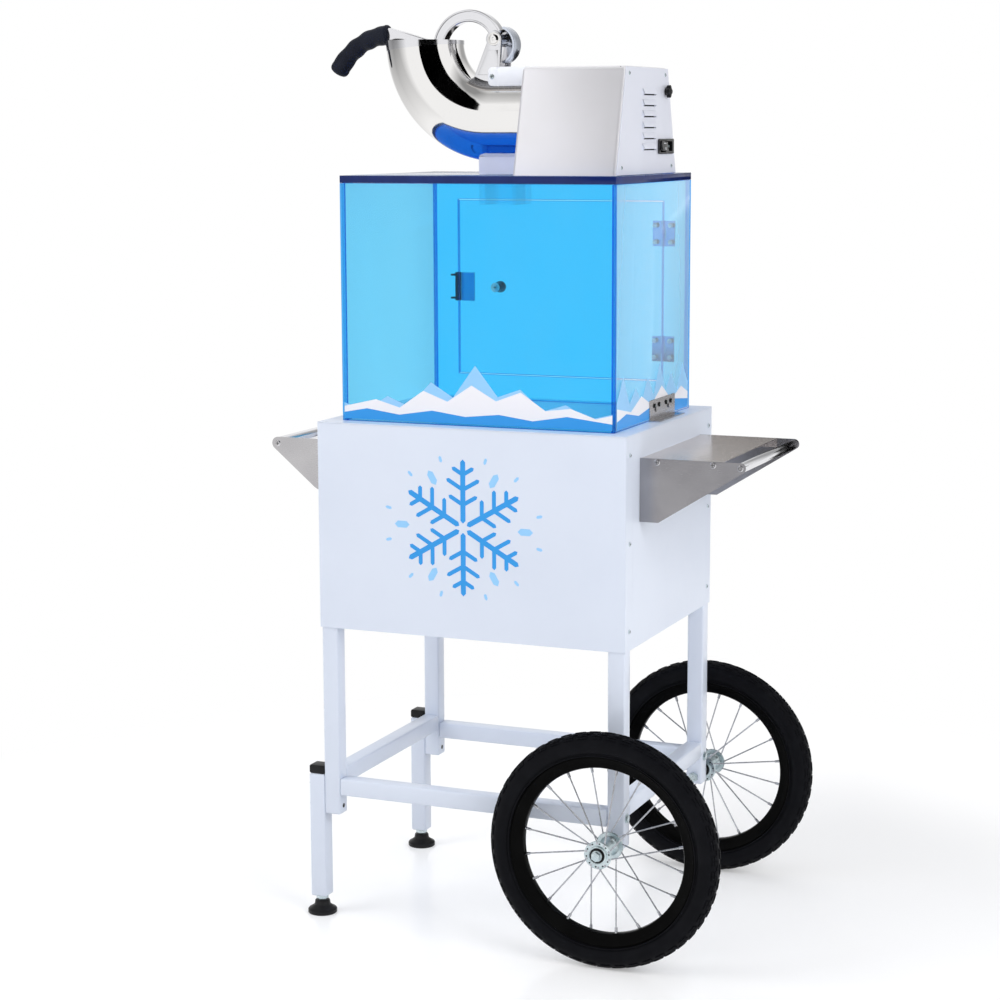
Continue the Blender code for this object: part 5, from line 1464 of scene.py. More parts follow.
@dataclass
class RearDoor(Assembly):
    """What is fixed to the rear door: hinges, knob, strike and catch."""

    screw_radius: float = 0.003
    screw_height: float = 0.0014
    outer_face: float = 0.1965
    inner_face: float = 0.1905
    washer: float = 0.0012

    def build_hinge(self, name: str) -> None:
        """Coat one hinge and add its screws and inner nuts.

        Args:
            name: "upper" or "lower".
        """
        for part, body in (("leaf", Body.DOOR), ("fixed", Body.CART)):
            node = f"hinge_{name}_{part}"
            self.coat(BRIGHT, node)
            low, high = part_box(node)
            mesh = Mesh()
            x = low.x + 0.0062 if part == "leaf" else high.x - 0.0062
            for z in (low.z + 0.008, high.z - 0.008):
                pan_head(mesh, (x, low.y + 0.002, z), Axis.Y, self.screw_radius,
                         self.screw_height, 0, 1)
                hexagon_head(mesh, (x, low.y - 0.0063, z), Axis.MINUS_Y, 0.0036, 0.0026, 0.0045)
            self.dress(node + "_screws", mesh, (ZINC, BLACK_CAP), Slot.ZINC, body=body)

    def build_knob(self) -> None:
        """Build the turned pull knob with its inner screw and washer."""
        low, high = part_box("door_knob")
        centre = ((low.x + high.x) / 2, self.outer_face, (low.z + high.z) / 2)
        reach = high.y - self.outer_face
        mesh = Mesh()
        knob = [(0, reach), (0.0082, reach), (0.0103, reach - 0.0016), (0.011, reach - 0.004),
                (0.0106, reach - 0.0078), (0.0072, reach - 0.0125), (0.006, reach - 0.016),
                (0.0064, 0.001), (0.0072, 0.0002), (0, 0.0002)]
        mesh.lathe(knob, Axis.Y, centre, 40)
        inside = (centre[0], self.inner_face, centre[2])
        seat = (centre[0], self.inner_face - self.washer, centre[2])
        mesh.rod(inside, seat, 0.0088, 28, bevel=0.0003, finish=1)
        pan_head(mesh, seat, Axis.MINUS_Y, 0.005, 0.0011, 1, 0)
        self.dress("door_knob_turned", mesh, (BLACK_GLOSS, ZINC), Slot.BLACK_PLASTIC,
                   ("door_knob",), body=Body.DOOR)

    def build_latch(self) -> None:
        """Build the catch on the case and its strike on the door."""
        low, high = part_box("door_catch")
        mesh = Mesh()
        middle = (low + high) / 2
        mesh.block((middle.x, low.y, low.z), high, 0.001, 2)
        for height in (-0.0215, 0.0215):
            mesh.block((low.x, low.y, middle.z + height - 0.0018),
                       (high.x - 0.002, high.y - 0.003, middle.z + height + 0.0018), 0.0005)
        for height in (-0.015, 0.015):
            pan_head(mesh, (high.x - 0.0044, high.y, middle.z + height), Axis.Y, 0.0032,
                     0.001, 1, 0)
        for rise in (-0.007, 0.0, 0.007):
            mesh.block((middle.x - 0.0012, low.y + 0.002, middle.z + rise - 0.0014),
                       (high.x + 0.0003, high.y - 0.002, middle.z + rise + 0.0014), finish=1)
        self.dress("door_catch_body", mesh, (BLACK_CAP, ZINC), Slot.BLACK_PLASTIC, ("door_catch",))
        low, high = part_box("door_strike")
        mesh = Mesh()
        mesh.block(low, high, 0.0008, 2)
        middle = (low + high) / 2
        for height in (-0.0175, 0.0175):
            spot = (middle.x, high.y, middle.z + height)
            pan_head(mesh, spot, Axis.Y, 0.0034, 0.0012, 0, 1)
        self.dress("door_strike_plate", mesh, (HOUSING_SHEET, BLACK_CAP), Slot.STAINLESS,
                   ("door_strike",), body=Body.DOOR)

    def build(self) -> None:
        """Build all the door's fittings."""
        self.build_hinge("upper")
        self.build_hinge("lower")
        self.build_knob()
        self.build_latch()


@dataclass
class Elbow(Assembly):
    """Polished feeding elbow with its mouth band and the saddle on its back."""

    pivot: Place = PIVOT
    bend: float = BEND
    radius: float = 0.0685
    wall: float = 0.004
    end: float = 0.01945
    sides: int = 72
    steps: int = 40
    outlet: tuple[float, float] = OUTLET
    outlet_half: float = OUTLET_HALF
    outlet_rise: float = 0.045
    band: float = math.radians(5.2)
    band_rise: float = 0.0009
    band_sink: float = 0.0002
    saddle_half: float = math.radians(35)
    saddle_start: float = math.radians(61)
    saddle_steps: int = 16

    def carry(self, mesh: Mesh, geom: list, turn: float, steps: int, straight: bool) -> None:
        """Spin a section along the bend, and carry it on to the housing if asked.

        Args:
            mesh: Mesh of the section.
            geom: Vertices, edges and faces of the section.
            turn: Angle of the bend that it spans.
            steps: Number of facets along the bend.
            straight: True carries the far end on to the housing.
        """
        swept = bmesh.ops.spin(
            mesh.bm, geom=geom, cent=Vector(self.pivot), axis=(0, -1, 0), angle=turn,
            steps=steps,
        )["geom_last"]
        if straight:
            mesh.push(swept, (self.end - self.pivot[0], 0, 0))

    def swept(self, mesh: Mesh, outline: Sequence[Point], start: float) -> None:
        """Sweep a cross section from an angle along the bend to the housing.

        Args:
            mesh: Mesh that takes the shape.
            outline: Corners of the section at the mouth, outwards from the pivot and across.
            start: Angle along the bend that the shape starts at.
        """
        pivot = Vector(self.pivot)
        line = [mesh.bm.verts.new(pivot + Vector((-out, side, 0))) for out, side in outline]
        face = mesh.bm.faces.new(line)
        mesh.move(line, Matrix.Translation(pivot) @ Matrix.Rotation(-start, 4, "Y")
                  @ Matrix.Translation(-pivot))
        self.carry(mesh, line + list(face.edges) + [face], QUARTER - start,
                   self.saddle_steps, True)

    def ring(self, mesh: Mesh, outer: float, inner: float, turn: float, steps: int,
             straight: bool) -> None:
        """Sweep a round wall from the mouth along the bend.

        Args:
            mesh: Mesh that takes the shape.
            outer: Outer radius.
            inner: Inner radius.
            turn: Angle of the bend that it spans.
            steps: Number of facets along the bend.
            straight: True carries the far end on to the housing.
        """
        mouth = Matrix.Translation(Vector(self.pivot) - Vector((self.bend, 0, 0)))
        verts = []
        for radius in (outer, inner):
            verts += bmesh.ops.create_circle(
                mesh.bm, cap_ends=False, segments=self.sides, radius=radius, matrix=mouth,
            )["verts"]
        edges = list({edge for vert in verts for edge in vert.link_edges})
        faces = bmesh.ops.bridge_loops(mesh.bm, edges=edges)["faces"]
        self.carry(mesh, verts + edges_of(faces) + faces, turn, steps, straight)

    def reach(self, spot: Vector) -> float:
        """Distance of a point from the elbow's middle line.

        Args:
            spot: Point to measure.

        Returns:
            The distance.
        """
        pivot = Vector(self.pivot)
        if spot.x > pivot.x:
            return math.hypot(spot.y, spot.z - (pivot.z - self.bend))
        out = math.hypot(spot.x - pivot.x, spot.z - pivot.z)
        return math.hypot(out - self.bend, spot.y)

    def open_outlet(self, mesh: Mesh) -> None:
        """Cut the ice outlet through the elbow's underside.

        Args:
            mesh: Mesh of the elbow.
        """
        bm = mesh.bm
        left, right = self.outlet
        half = self.outlet_half
        floor = self.pivot[2] - self.bend - self.outlet_rise
        for spot, way in (((left, 0, 0), (1, 0, 0)), ((right, 0, 0), (1, 0, 0)),
                          ((0, -half, 0), (0, 1, 0)), ((0, half, 0), (0, 1, 0))):
            faces = [face for face in bm.faces if face.calc_center_median().z < floor]
            verts = {vert for face in faces for vert in face.verts}
            bmesh.ops.bisect_plane(
                bm, geom=list(verts) + edges_of(faces) + faces, dist=SLICE, plane_co=spot,
                plane_no=way,
            )
        gone = []
        for face in bm.faces:
            middle = face.calc_center_median()
            if left < middle.x < right and abs(middle.y) < half and middle.z < floor:
                gone.append(face)
        bmesh.ops.delete(bm, geom=gone, context="FACES")
        rims = [edge for edge in bm.edges if edge.is_boundary]
        bmesh.ops.bridge_loops(bm, edges=rims)

    def build_shell(self) -> None:
        """Build the elbow, polished outside and dull inside."""
        mesh = Mesh()
        inner = self.radius - self.wall
        self.ring(mesh, self.radius, inner, QUARTER, self.steps, True)
        self.open_outlet(mesh)
        limit = self.radius - self.wall * 0.3
        for face in mesh.bm.faces:
            outside = self.reach(face.calc_center_median()) > limit
            face.material_index = 0 if outside else 1
        self.dress("elbow_shell", mesh, (MIRROR, BORE), Slot.POLISHED, ("hopper",))
        mesh = Mesh()
        self.ring(mesh, self.radius + self.band_rise, self.radius - self.band_sink,
                  self.band, 4, False)
        self.dress("elbow_mouth_band", mesh, (BRIGHT,), Slot.POLISHED)

    def build_saddle(self) -> None:
        """Build the rolled saddle plate under the post and its weld on the elbow."""
        for name, rise, sink, half, start, finish in (
            ("saddle_plate", 0.005, 0.0002, self.saddle_half, self.saddle_start, SADDLE),
            ("saddle_weld", 0.0013, 0.0004, self.saddle_half + 0.045,
             self.saddle_start - 0.03, BORE),
        ):
            mesh = Mesh()
            outline = []
            for radius, way in ((self.radius + rise, 1), (self.radius - sink, -1)):
                for step in range(13):
                    angle = way * half * (1 - step / 6)
                    outline.append((self.bend - radius * math.cos(angle),
                                    radius * math.sin(angle)))
            self.swept(mesh, outline, start)
            self.dress(name, mesh, (finish,), Slot.STAINLESS)

    def build(self) -> None:
        """Build the whole elbow."""
        self.build_shell()
        self.build_saddle()
        self.coat(BRIGHT, "cutter")


@dataclass
class LeverPost(Assembly):
    """Forked post with the pivot bolt, and the switch box behind it."""

    pivot: Place = PIVOT
    cheek: tuple[float, float] = (0.02, 0.025)
    eye: float = 0.0149
    foot: float = -0.078
    foot_left: float = -0.043
    foot_right: float = 0.0118
    box_radius: float = 0.007
    box_cheek: float = 0.0256
    bolt_reach: float = 0.0245
    bolt_radius: float = 0.0049

    def outline(self, inset: float) -> list[tuple[float, float]]:
        """Outline of a cheek, set in from its edge.

        Args:
            inset: Distance from the edge.

        Returns:
            Points across and up from the pivot.
        """
        radius = self.eye - inset
        points = [(self.foot_left + inset * 1.4, self.foot + 0.001 + inset),
                  (self.foot_right - inset, self.foot + 0.001 + inset),
                  (self.foot_right - inset, -0.045)]
        for step in range(19):
            angle = math.radians(-15 + 220 * step / 18)
            points.append((radius * math.cos(angle), radius * math.sin(angle)))
        return points

    def build_post(self) -> None:
        """Build the fork's cheeks with their raised rims, the web and the bolt."""
        px, _, pz = self.pivot
        mesh = Mesh()
        low, high = self.cheek
        for side in (-1, 1):
            line = [(px + u, side * low, pz + v) for u, v in self.outline(0.0)]
            mesh.panel(line, (0, side * (high - low), 0), 0, 0.001)
            rim = [(-0.011, -0.019), (0.008, -0.019), (0.008, -0.061), (-0.0305, -0.061)]
            line = [(px + u, side * high, pz + v) for u, v in rim]
            mesh.panel(line, (0, side * 0.0009, 0), 0, 0.0008)
            spot = Vector((px, side * high, pz))
            way = Axis.facing(side)
            bolt = [(0, 0.003), (0.002, 0.003), (0.0026, 0.0039), (0.006, 0.0039),
                    (0.0078, 0.003), (0.0082, 0.0012), (0.0088, 0.0004), (0.0096, 0.0004),
                    (0.01, 0.0014), (0.0112, 0.0014), (0.0118, 0.0006), (0.0118, -0.0004),
                    (0, -0.0004)]
            mesh.lathe(bolt, way, spot, 40, 1)
        mesh.block((px - 0.0335, -0.0205, pz + self.foot + 0.001),
                   (px - 0.006, 0.0205, pz + self.foot + 0.014), 0.0008, 2)
        mesh.rod((px, -self.bolt_reach, pz), (px, self.bolt_reach, pz), self.bolt_radius, 28,
                 finish=1)
        self.dress("pivot_fork", mesh, (BRIGHT, MIRROR, BLACK_CAP), Slot.POLISHED, ("pivot_post",))

    def build_box(self) -> None:
        """Build the switch box with its rounded end, lid seam and screws."""
        low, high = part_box("switch_box")
        mesh = Mesh()
        slot_end = self.pivot[0] + self.foot_right + 0.0008
        r = self.box_radius
        foot = low.z + 0.0055
        line = [(slot_end, foot), (high.x, foot), (high.x, high.z)]
        solid = [(x, low.y, z) for x, z in line + [(slot_end, high.z)]]
        mesh.panel(solid, (0, high.y - low.y, 0), 0, 0.0012)
        for side, start in ((-1, low.y), (1, self.box_cheek)):
            line = [(slot_end + 0.002, foot), (slot_end + 0.002, high.z)]
            for turn, z in ((QUARTER, high.z - r), (math.pi, foot + r)):
                for step in range(7):
                    angle = turn + QUARTER * step / 6
                    line.append((low.x + r + r * math.cos(angle), z + r * math.sin(angle)))
            cheek = [(x, start, z) for x, z in line]
            mesh.panel(cheek, (0, high.y - self.box_cheek, 0), 0, 0.001)
            x = low.x + 0.0072
            way = Axis.facing(side)
            spot = (x, high.y if side > 0 else low.y, (foot + high.z) / 2)
            pan_head(mesh, spot, way, 0.0044, 0.0013, 1, 2)
        mesh.block((slot_end + 0.004, low.y + 0.004, high.z - 0.0001),
                   (high.x, high.y - 0.004, high.z + 0.0006), 0.0003, 1)
        self.dress("switch_box_shell", mesh, (WHITE_MOULD, ZINC, BLACK_CAP),
                   Slot.WHITE_PLASTIC, ("switch_box",))

    def build(self) -> None:
        """Build the post and the box."""
        self.build_post()
        self.build_box()


@dataclass
class CrushingLever(Assembly):
    """Lever with its ring arch, cam shoe, pusher and handle."""

    body: Body = Body.LEVER
    pivot: Place = PIVOT
    ring_radius: float = 0.0575
    section: float = 0.0207
    half_width: float = 0.01
    ring_tilt: float = math.radians(16.4)
    bend: float = BEND
    pusher_turn: float = math.radians(64)
    pusher_radius: float = 0.0598
    grip_end: float = -0.27805
    grip_rise: float = 0.011
    grip_length: float = 0.108
    grip_droop: float = 0.057
    grip_radius: float = 0.0172
    bumps: int = 4
    arm_half: float = 0.0075

    def centre(self) -> Vector:
        """Middle of the ring."""
        return Vector(self.pivot) - upright(self.ring_tilt, self.ring_radius)

    def build_ring(self) -> None:
        """Build the ring arch with a raised border on both faces, hub and cam shoe."""
        mesh = Mesh()
        half, wide = self.section / 2, self.half_width
        edge, step, border = 0.0014, 0.0009, 0.003
        radius = self.ring_radius
        side = [(half, wide - edge), (half - edge, wide), (half - border, wide),
                (half - border - step, wide - step), (border + step - half, wide - step),
                (border - half, wide), (edge - half, wide), (-half, wide - edge)]
        profile = [(radius + r, d) for r, d in side]
        profile += [(radius + r, -d) for r, d in reversed(side)]
        mesh.arch(profile, self.centre(), self.ring_tilt, math.pi, 60)
        px, _, pz = self.pivot
        hub = [(0.0053, -0.0196), (0.0122, -0.0196), (0.013, -0.0188), (0.013, 0.0188),
               (0.0122, 0.0196), (0.0053, 0.0196)]
        mesh.lathe(hub, Axis.Y, self.pivot, 40, 0, True)
        self.dress("lever_ring", mesh, (BRIGHT,), Slot.POLISHED, ("lever",))
        mesh = Mesh()
        shoe = [(0.0298, -0.013), (0.033, -0.013), (0.0332, -0.0125), (0.0332, 0.018),
                (0.033, 0.0185), (0.0298, 0.0185)]
        middle = (px, 0.0, pz - 0.01)
        mesh.arch(shoe, middle, math.radians(-70), math.radians(140), 36, 1)
        line = [(px + 0.004, 0.013, pz - 0.006), (px + 0.004, 0.013, pz + 0.008)]
        for index in range(13):
            angle = math.radians(62 - 124 * index / 12)
            line.append((middle[0] + 0.0306 * math.cos(angle), 0.013,
                         middle[2] + 0.0306 * math.sin(angle)))
        mesh.panel(line, (0, 0.004, 0), 1, 0.0006)
        hook = [(px + 0.006, -0.004, pz + 0.013), (px + 0.014, -0.004, pz + 0.0155),
                (px + 0.02, -0.004, pz + 0.012), (px + 0.0215, -0.004, pz + 0.005),
                (px + 0.018, -0.004, pz + 0.0000), (px + 0.0125, -0.004, pz + 0.001)]
        mesh.sweep(hook, [0.0026, 0.0028, 0.0028, 0.0028, 0.0026, 0.002], 12, 2)
        self.dress("lever_cam_shoe", mesh, (BRIGHT, SHOE, BLACK_CAP), Slot.POLISHED)

    def build_pusher(self) -> None:
        """Build the curved pusher arm and the dished plate at its end."""
        mesh = Mesh()
        half = 0.0078
        edge = 0.0012
        profile = [(half, edge - half), (half, half - edge), (half - edge, half),
                   (edge - half, half), (-half, half - edge), (-half, edge - half),
                   (edge - half, -half), (half - edge, -half)]
        reach = 2 * self.ring_radius
        start = math.pi + self.ring_tilt - 0.1
        end = math.pi + self.pusher_turn - 0.01
        profile = [(reach + r, d) for r, d in profile]
        mesh.arch(profile, self.pivot, start, end - start, 28)
        angle = math.pi + self.pusher_turn
        middle = Vector(self.pivot) + upright(angle, self.bend)
        way = Vector((math.sin(angle), 0, -math.cos(angle)))
        plate = [(0, -0.0018), (0.05, -0.0018), (0.0585, -0.0024), (self.pusher_radius, -0.0012),
                 (self.pusher_radius, 0.0014), (0.0585, 0.0024), (0.048, 0.0024), (0, 0.0012)]
        made = mesh.lathe(plate, Axis.Z, (0, 0, 0), 64)
        mesh.move(made, Matrix.Translation(middle) @ turn_to(way))
        self.dress("lever_pusher", mesh, (BRIGHT,), Slot.POLISHED)

    def build_arm(self) -> None:
        """Build the flat arm that climbs from the ring's end out over the mouth."""
        px, _, pz = self.pivot
        grip = self.grip_end - px
        top = [(grip - 0.027, 0.0236), (grip + 0.004, 0.0232), (grip + 0.04, 0.0135),
               (grip + 0.074, 0.0035), (grip + 0.092, -0.002)]
        low = [(grip + 0.099, -0.026), (grip + 0.066, -0.015), (grip + 0.036, -0.004),
               (grip + 0.015, 0.0014), (grip - 0.027, 0.0014)]
        mesh = Mesh()
        line = [(px + u, -self.arm_half, pz + v) for u, v in top + low]
        mesh.panel(line, (0, 2 * self.arm_half, 0), 0, 0.0024)
        self.dress("lever_arm", mesh, (BRIGHT,), Slot.POLISHED)

    def build_grip(self) -> None:
        """Build the moulded grip with its collar, finger bumps and end."""
        root = Vector((self.grip_end, 0, self.pivot[2] + self.grip_rise))
        rings = 44
        path, radii = [], []
        for index in range(rings + 1):
            share = index / rings
            run = self.grip_length * (share - 0.1 * share ** 3)
            path.append(root + Vector((-run, 0, -self.grip_droop * share ** 2)))
            wave = 0.0009 * math.sin(self.bumps * TURN * share - QUARTER)
            waist = 0.0012 * math.sin(math.pi * share)
            radii.append(self.grip_radius - waist + wave * math.sin(math.pi * share) ** 0.5)
        for index, lift in ((0, -0.0012), (1, 0.0008), (2, 0.001), (3, 0.0002)):
            radii[index] = self.grip_radius + lift
        last = path[-1]
        run = (path[-1] - path[-2]).normalized()
        end = radii[-1]
        for out, share in ((0.003, 0.985), (0.006, 0.93), (0.0085, 0.8), (0.0101, 0.58),
                           (0.0108, 0.3)):
            path.append(last + run * out)
            radii.append(end * share)
        mesh = Mesh()
        mesh.sweep(path, radii, 40)
        self.dress("lever_grip_moulding", mesh, (GRIP,), Slot.GRIP, ("lever_grip",), smooth=60.0)

    def build(self) -> None:
        """Build the whole lever."""
        self.build_ring()
        self.build_pusher()
        self.build_arm()
        self.build_grip()


@dataclass
class MotorHousing(Assembly):
    """Steel motor cover with its end panel, louvres, inlet, rocker and clamp knob."""

    base_half: float = 0.154
    top_half: float = 0.107
    corner: float = 0.0075
    set_back: float = 0.004
    wall: float = 0.0013
    gap: float = 0.0016
    louvres: int = 6
    pitch: float = 0.0185
    first: float = 1.355
    slot: float = 0.0026
    inlet_rim: float = 0.0028
    shade_sheet_depth: float = 0.01
    shade_sheet_wall: float = 0.0012
    inlet_depth: float = 0.0175
    inlet_pitch: float = 0.0186
    inlet_flange: float = 0.003
    inlet_corner: float = 0.003
    rocker_rest: float = math.radians(7)
    louvre_y: tuple[float, float] = (-0.025, 0.039)

    def outline(self, inset: float) -> list[tuple[float, float]]:
        """Trapezoid of the housing's end, set in from its edge.

        Args:
            inset: Distance from the edge.

        Returns:
            Points across and up.
        """
        low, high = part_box("motor_housing")
        lean = (self.base_half - self.top_half) / (high.z - low.z)
        top = high.z - inset
        foot = low.z + (0.0006 if inset else 0.0)
        half_top = self.top_half + lean * inset - inset * 1.03
        half_foot = self.base_half - lean * (foot - low.z) - inset * 1.03
        return [(-half_foot, foot), (half_foot, foot), (half_top, top), (-half_top, top)]

    def build_cover(self) -> None:
        """Build the bent cover, open below and on the right."""
        low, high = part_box("motor_housing")
        face_x = high.x - self.set_back
        mesh = Mesh()
        bm = mesh.bm
        line = [(low.x, y, z) for y, z in self.outline(0.0)]
        mesh.panel(line, (face_x - low.x, 0, 0))
        bmesh.ops.recalc_face_normals(bm, faces=bm.faces[:])
        bm.normal_update()
        rims = [edge for edge in bm.edges if max(vert.co.z for vert in edge.verts) > low.z + 0.001]
        mesh.soften(rims, self.corner, 6)
        bm.normal_update()
        gone = [face for face in bm.faces if face.normal.x > 0.99 or face.normal.z < -0.99]
        bmesh.ops.delete(bm, geom=gone, context="FACES")
        bmesh.ops.solidify(bm, geom=bm.faces[:], thickness=self.wall)
        self.dress("housing_cover", mesh, (HOUSING_SHEET,), Slot.POLISHED,
                   ("motor_housing",), smooth=40.0)

    def build_end(self) -> None:
        """Build the end panel with its louvre slots, hoods and openings, and the black sheet
        behind them that paints their shade.
        """
        face_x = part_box("motor_housing")[1].x - self.set_back
        start, end = self.louvre_y
        holes = []
        for index in range(self.louvres):
            z = self.first + self.pitch * index
            holes.append(((0, start + 0.0015, z), (1, end - 0.0015, z + self.slot)))
        rim = Vector((0, self.inlet_rim, self.inlet_rim))
        inlet_low, inlet_high = (Vector((0, at.y, at.z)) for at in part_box("power_inlet"))
        holes.append((inlet_low + rim, inlet_high - rim + Vector((1, 0, 0))))
        mesh = Mesh()
        line = [(face_x, y, z) for y, z in self.outline(self.gap)]
        mesh.sheet(line, (-self.wall, 0, 0), holes)
        for index in range(self.louvres):
            z = self.first + self.pitch * index
            hood = [(face_x - 0.0005, z + 0.0118), (face_x + 0.0008, z + 0.0114),
                    (face_x + 0.0034, z + 0.0052), (face_x + 0.0038, z + 0.0022),
                    (face_x + 0.003, z + 0.0022), (face_x + 0.0026, z + 0.005),
                    (face_x + 0.0001, z + 0.0106)]
            mesh.panel([(x, start, height) for x, height in hood], (0, end - start, 0))
            for y in (start, end - 0.0009):
                side = [(face_x - 0.0004, z - 0.0006), (face_x - 0.0004, z + 0.0116),
                        (face_x + 0.0006, z + 0.0112), (face_x + 0.0032, z + 0.005),
                        (face_x + 0.0035, z + 0.0022), (face_x + 0.001, z - 0.0006)]
                mesh.panel([(x, y, height) for x, height in side], (0, 0.0009, 0))
        self.dress("housing_end_panel", mesh, (END_SHEET,), Slot.POLISHED)
        mesh = Mesh()
        for spot in ((-0.128, 1.327), (0.128, 1.327), (-0.092, 1.483), (0.092, 1.483)):
            pan_head(mesh, (face_x, *spot), Axis.X, 0.0034, 0.0014, 0, 1)
        self.dress("housing_end_screws", mesh, (ZINC, BLACK_CAP), Slot.ZINC)
        # A black sheet inside the housing paints the shade behind the louvre slots and the inlet
        # opening.
        mesh = Mesh()
        line = [(face_x - self.shade_sheet_depth, y, z) for y, z in self.outline(self.wall * 1.3)]
        mesh.panel(line, (-self.shade_sheet_wall, 0, 0))
        self.dress("housing_painted_shade_sheet", mesh, (BLACK_CAP,), Slot.BLACK_PLASTIC)
        self.coat(CASTING, "motor")

    def build_inlet(self) -> None:
        """Build the power inlet: flange, rocker well, socket and metal prongs."""
        low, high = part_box("power_inlet")
        middle = (low.y + high.y) / 2
        height = (low.z + high.z) / 2
        flange = self.inlet_flange
        back = high.x - self.inlet_depth
        rocker, socket = middle - self.inlet_pitch, middle + self.inlet_pitch
        wells = ((rocker, 0.0153, 0.01), (socket, 0.0125, 0.0085))
        mesh = Mesh()
        r = self.inlet_corner
        outline = []
        for index, (y, z) in enumerate(((high.y, high.z), (low.y, high.z), (low.y, low.z),
                                        (high.y, low.z))):
            sign_y = 1 if y > middle else -1
            sign_z = 1 if z > height else -1
            for step in range(5):
                angle = QUARTER * index + QUARTER * step / 4
                outline.append((high.x - flange, y - sign_y * r + r * math.cos(angle),
                                z - sign_z * r + r * math.sin(angle)))
        holes = [((0, y - half, height - tall), (1, y + half, height + tall))
                 for y, half, tall in wells]
        mesh.sheet(outline, (flange, 0, 0), holes, 0, 0.0004)
        skin = 0.0008
        for y, half, tall in wells:
            left, right, foot, top = y - half, y + half, height - tall, height + tall
            for start, end in (
                ((left - skin, foot - skin), (right + skin, foot)),
                ((left - skin, top), (right + skin, top + skin)),
                ((left - skin, foot), (left, top)),
                ((right, foot), (right + skin, top)),
            ):
                mesh.block((back, *start), (high.x - flange, *end))
            mesh.block((back - 0.0012, left - skin, foot - skin), (back, right + skin, top + skin))
        mesh.block((back, socket - 0.0095, height - 0.0055),
                   (high.x - 0.0075, socket + 0.0095, height + 0.0055), 0.0008, 2)
        for index in (-1, 0, 1):
            y = socket + 0.006 * index
            mesh.block((back, y - 0.001, height - 0.0024),
                       (high.x - 0.004, y + 0.001, height + 0.0024), 0.0003, 1, 1)
        self.dress("power_inlet_unit", mesh, (BLACK_GLOSS, ZINC), Slot.BLACK_GLOSS,
                   ("power_inlet",))
        self.build_rocker(Vector((high.x - flange, rocker, height)))

    def build_rocker(self, place: Vector) -> None:
        """Build the dished rocker with plain on and off marks.

        Args:
            place: Middle of its tilt axis.
        """
        mesh = Mesh()
        half, tall, reach = 0.0149, 0.0086, 0.0078
        line = []
        for step in range(9):
            share = step / 4 - 1
            line.append((reach - 0.0016 * (1 - share * share), tall * share))
        line = [(-0.004, -tall * 0.6)] + line + [(-0.004, tall * 0.6)]
        mesh.panel([(x, -half, z) for x, z in line], (0, 2 * half, 0), 0, 0.0005)
        mesh.block((reach - 0.0009, -0.0045, 0.004), (reach - 0.00035, 0.0045, 0.005), finish=1)
        dot = [(0.0012, 0.0), (0.0019, 0.0), (0.0019, 0.0005), (0.0012, 0.0005)]
        mesh.lathe(dot, Axis.X, (reach - 0.0009, 0, -0.0046), 20, 1, True)
        tilt = Matrix.Translation(place) @ Matrix.Rotation(-self.rocker_rest, 4, "Y")
        mesh.move(mesh.bm.verts, tilt)
        self.dress("rocker_paddle", mesh, (BLACK_GLOSS, WHITE_MOULD), Slot.BLACK_GLOSS,
                   ("rocker_switch",), body=Body.ROCKER)

    def build_clamp(self) -> None:
        """Build the four-lobed clamp knob with its cap and collar."""
        low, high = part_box("clamp_knob")
        middle = Vector((high.x - 0.01, (low.y + high.y) / 2, (low.z + high.z) / 2))
        mesh = Mesh()
        line = []
        for step in range(64):
            angle = TURN * step / 64
            reach = 0.0109 - 0.003 * (1 - math.cos(4 * angle)) / 2
            line.append(middle + Vector((0.002, reach * math.cos(angle), reach * math.sin(angle))))
        mesh.panel(line, (0.0075, 0, 0), 0, 0.0014)
        mesh.rod(middle, middle + Vector((0.003, 0, 0)), 0.0062, 32)
        mesh.rod(middle + Vector((0.009, 0, 0)), middle + Vector((0.01, 0, 0)), 0.0046, 28, 0.004)
        mesh.rod(middle - Vector((0.012, 0, 0)), middle, 0.0029, 20, finish=1)
        self.dress("clamp_knob_moulding", mesh, (BLACK_CAP, ZINC), Slot.BLACK_PLASTIC,
                   ("clamp_knob",), body=Body.CLAMP)

    def build(self) -> None:
        """Build the whole housing."""
        self.build_cover()
        self.build_end()
        self.build_inlet()
        self.build_clamp()


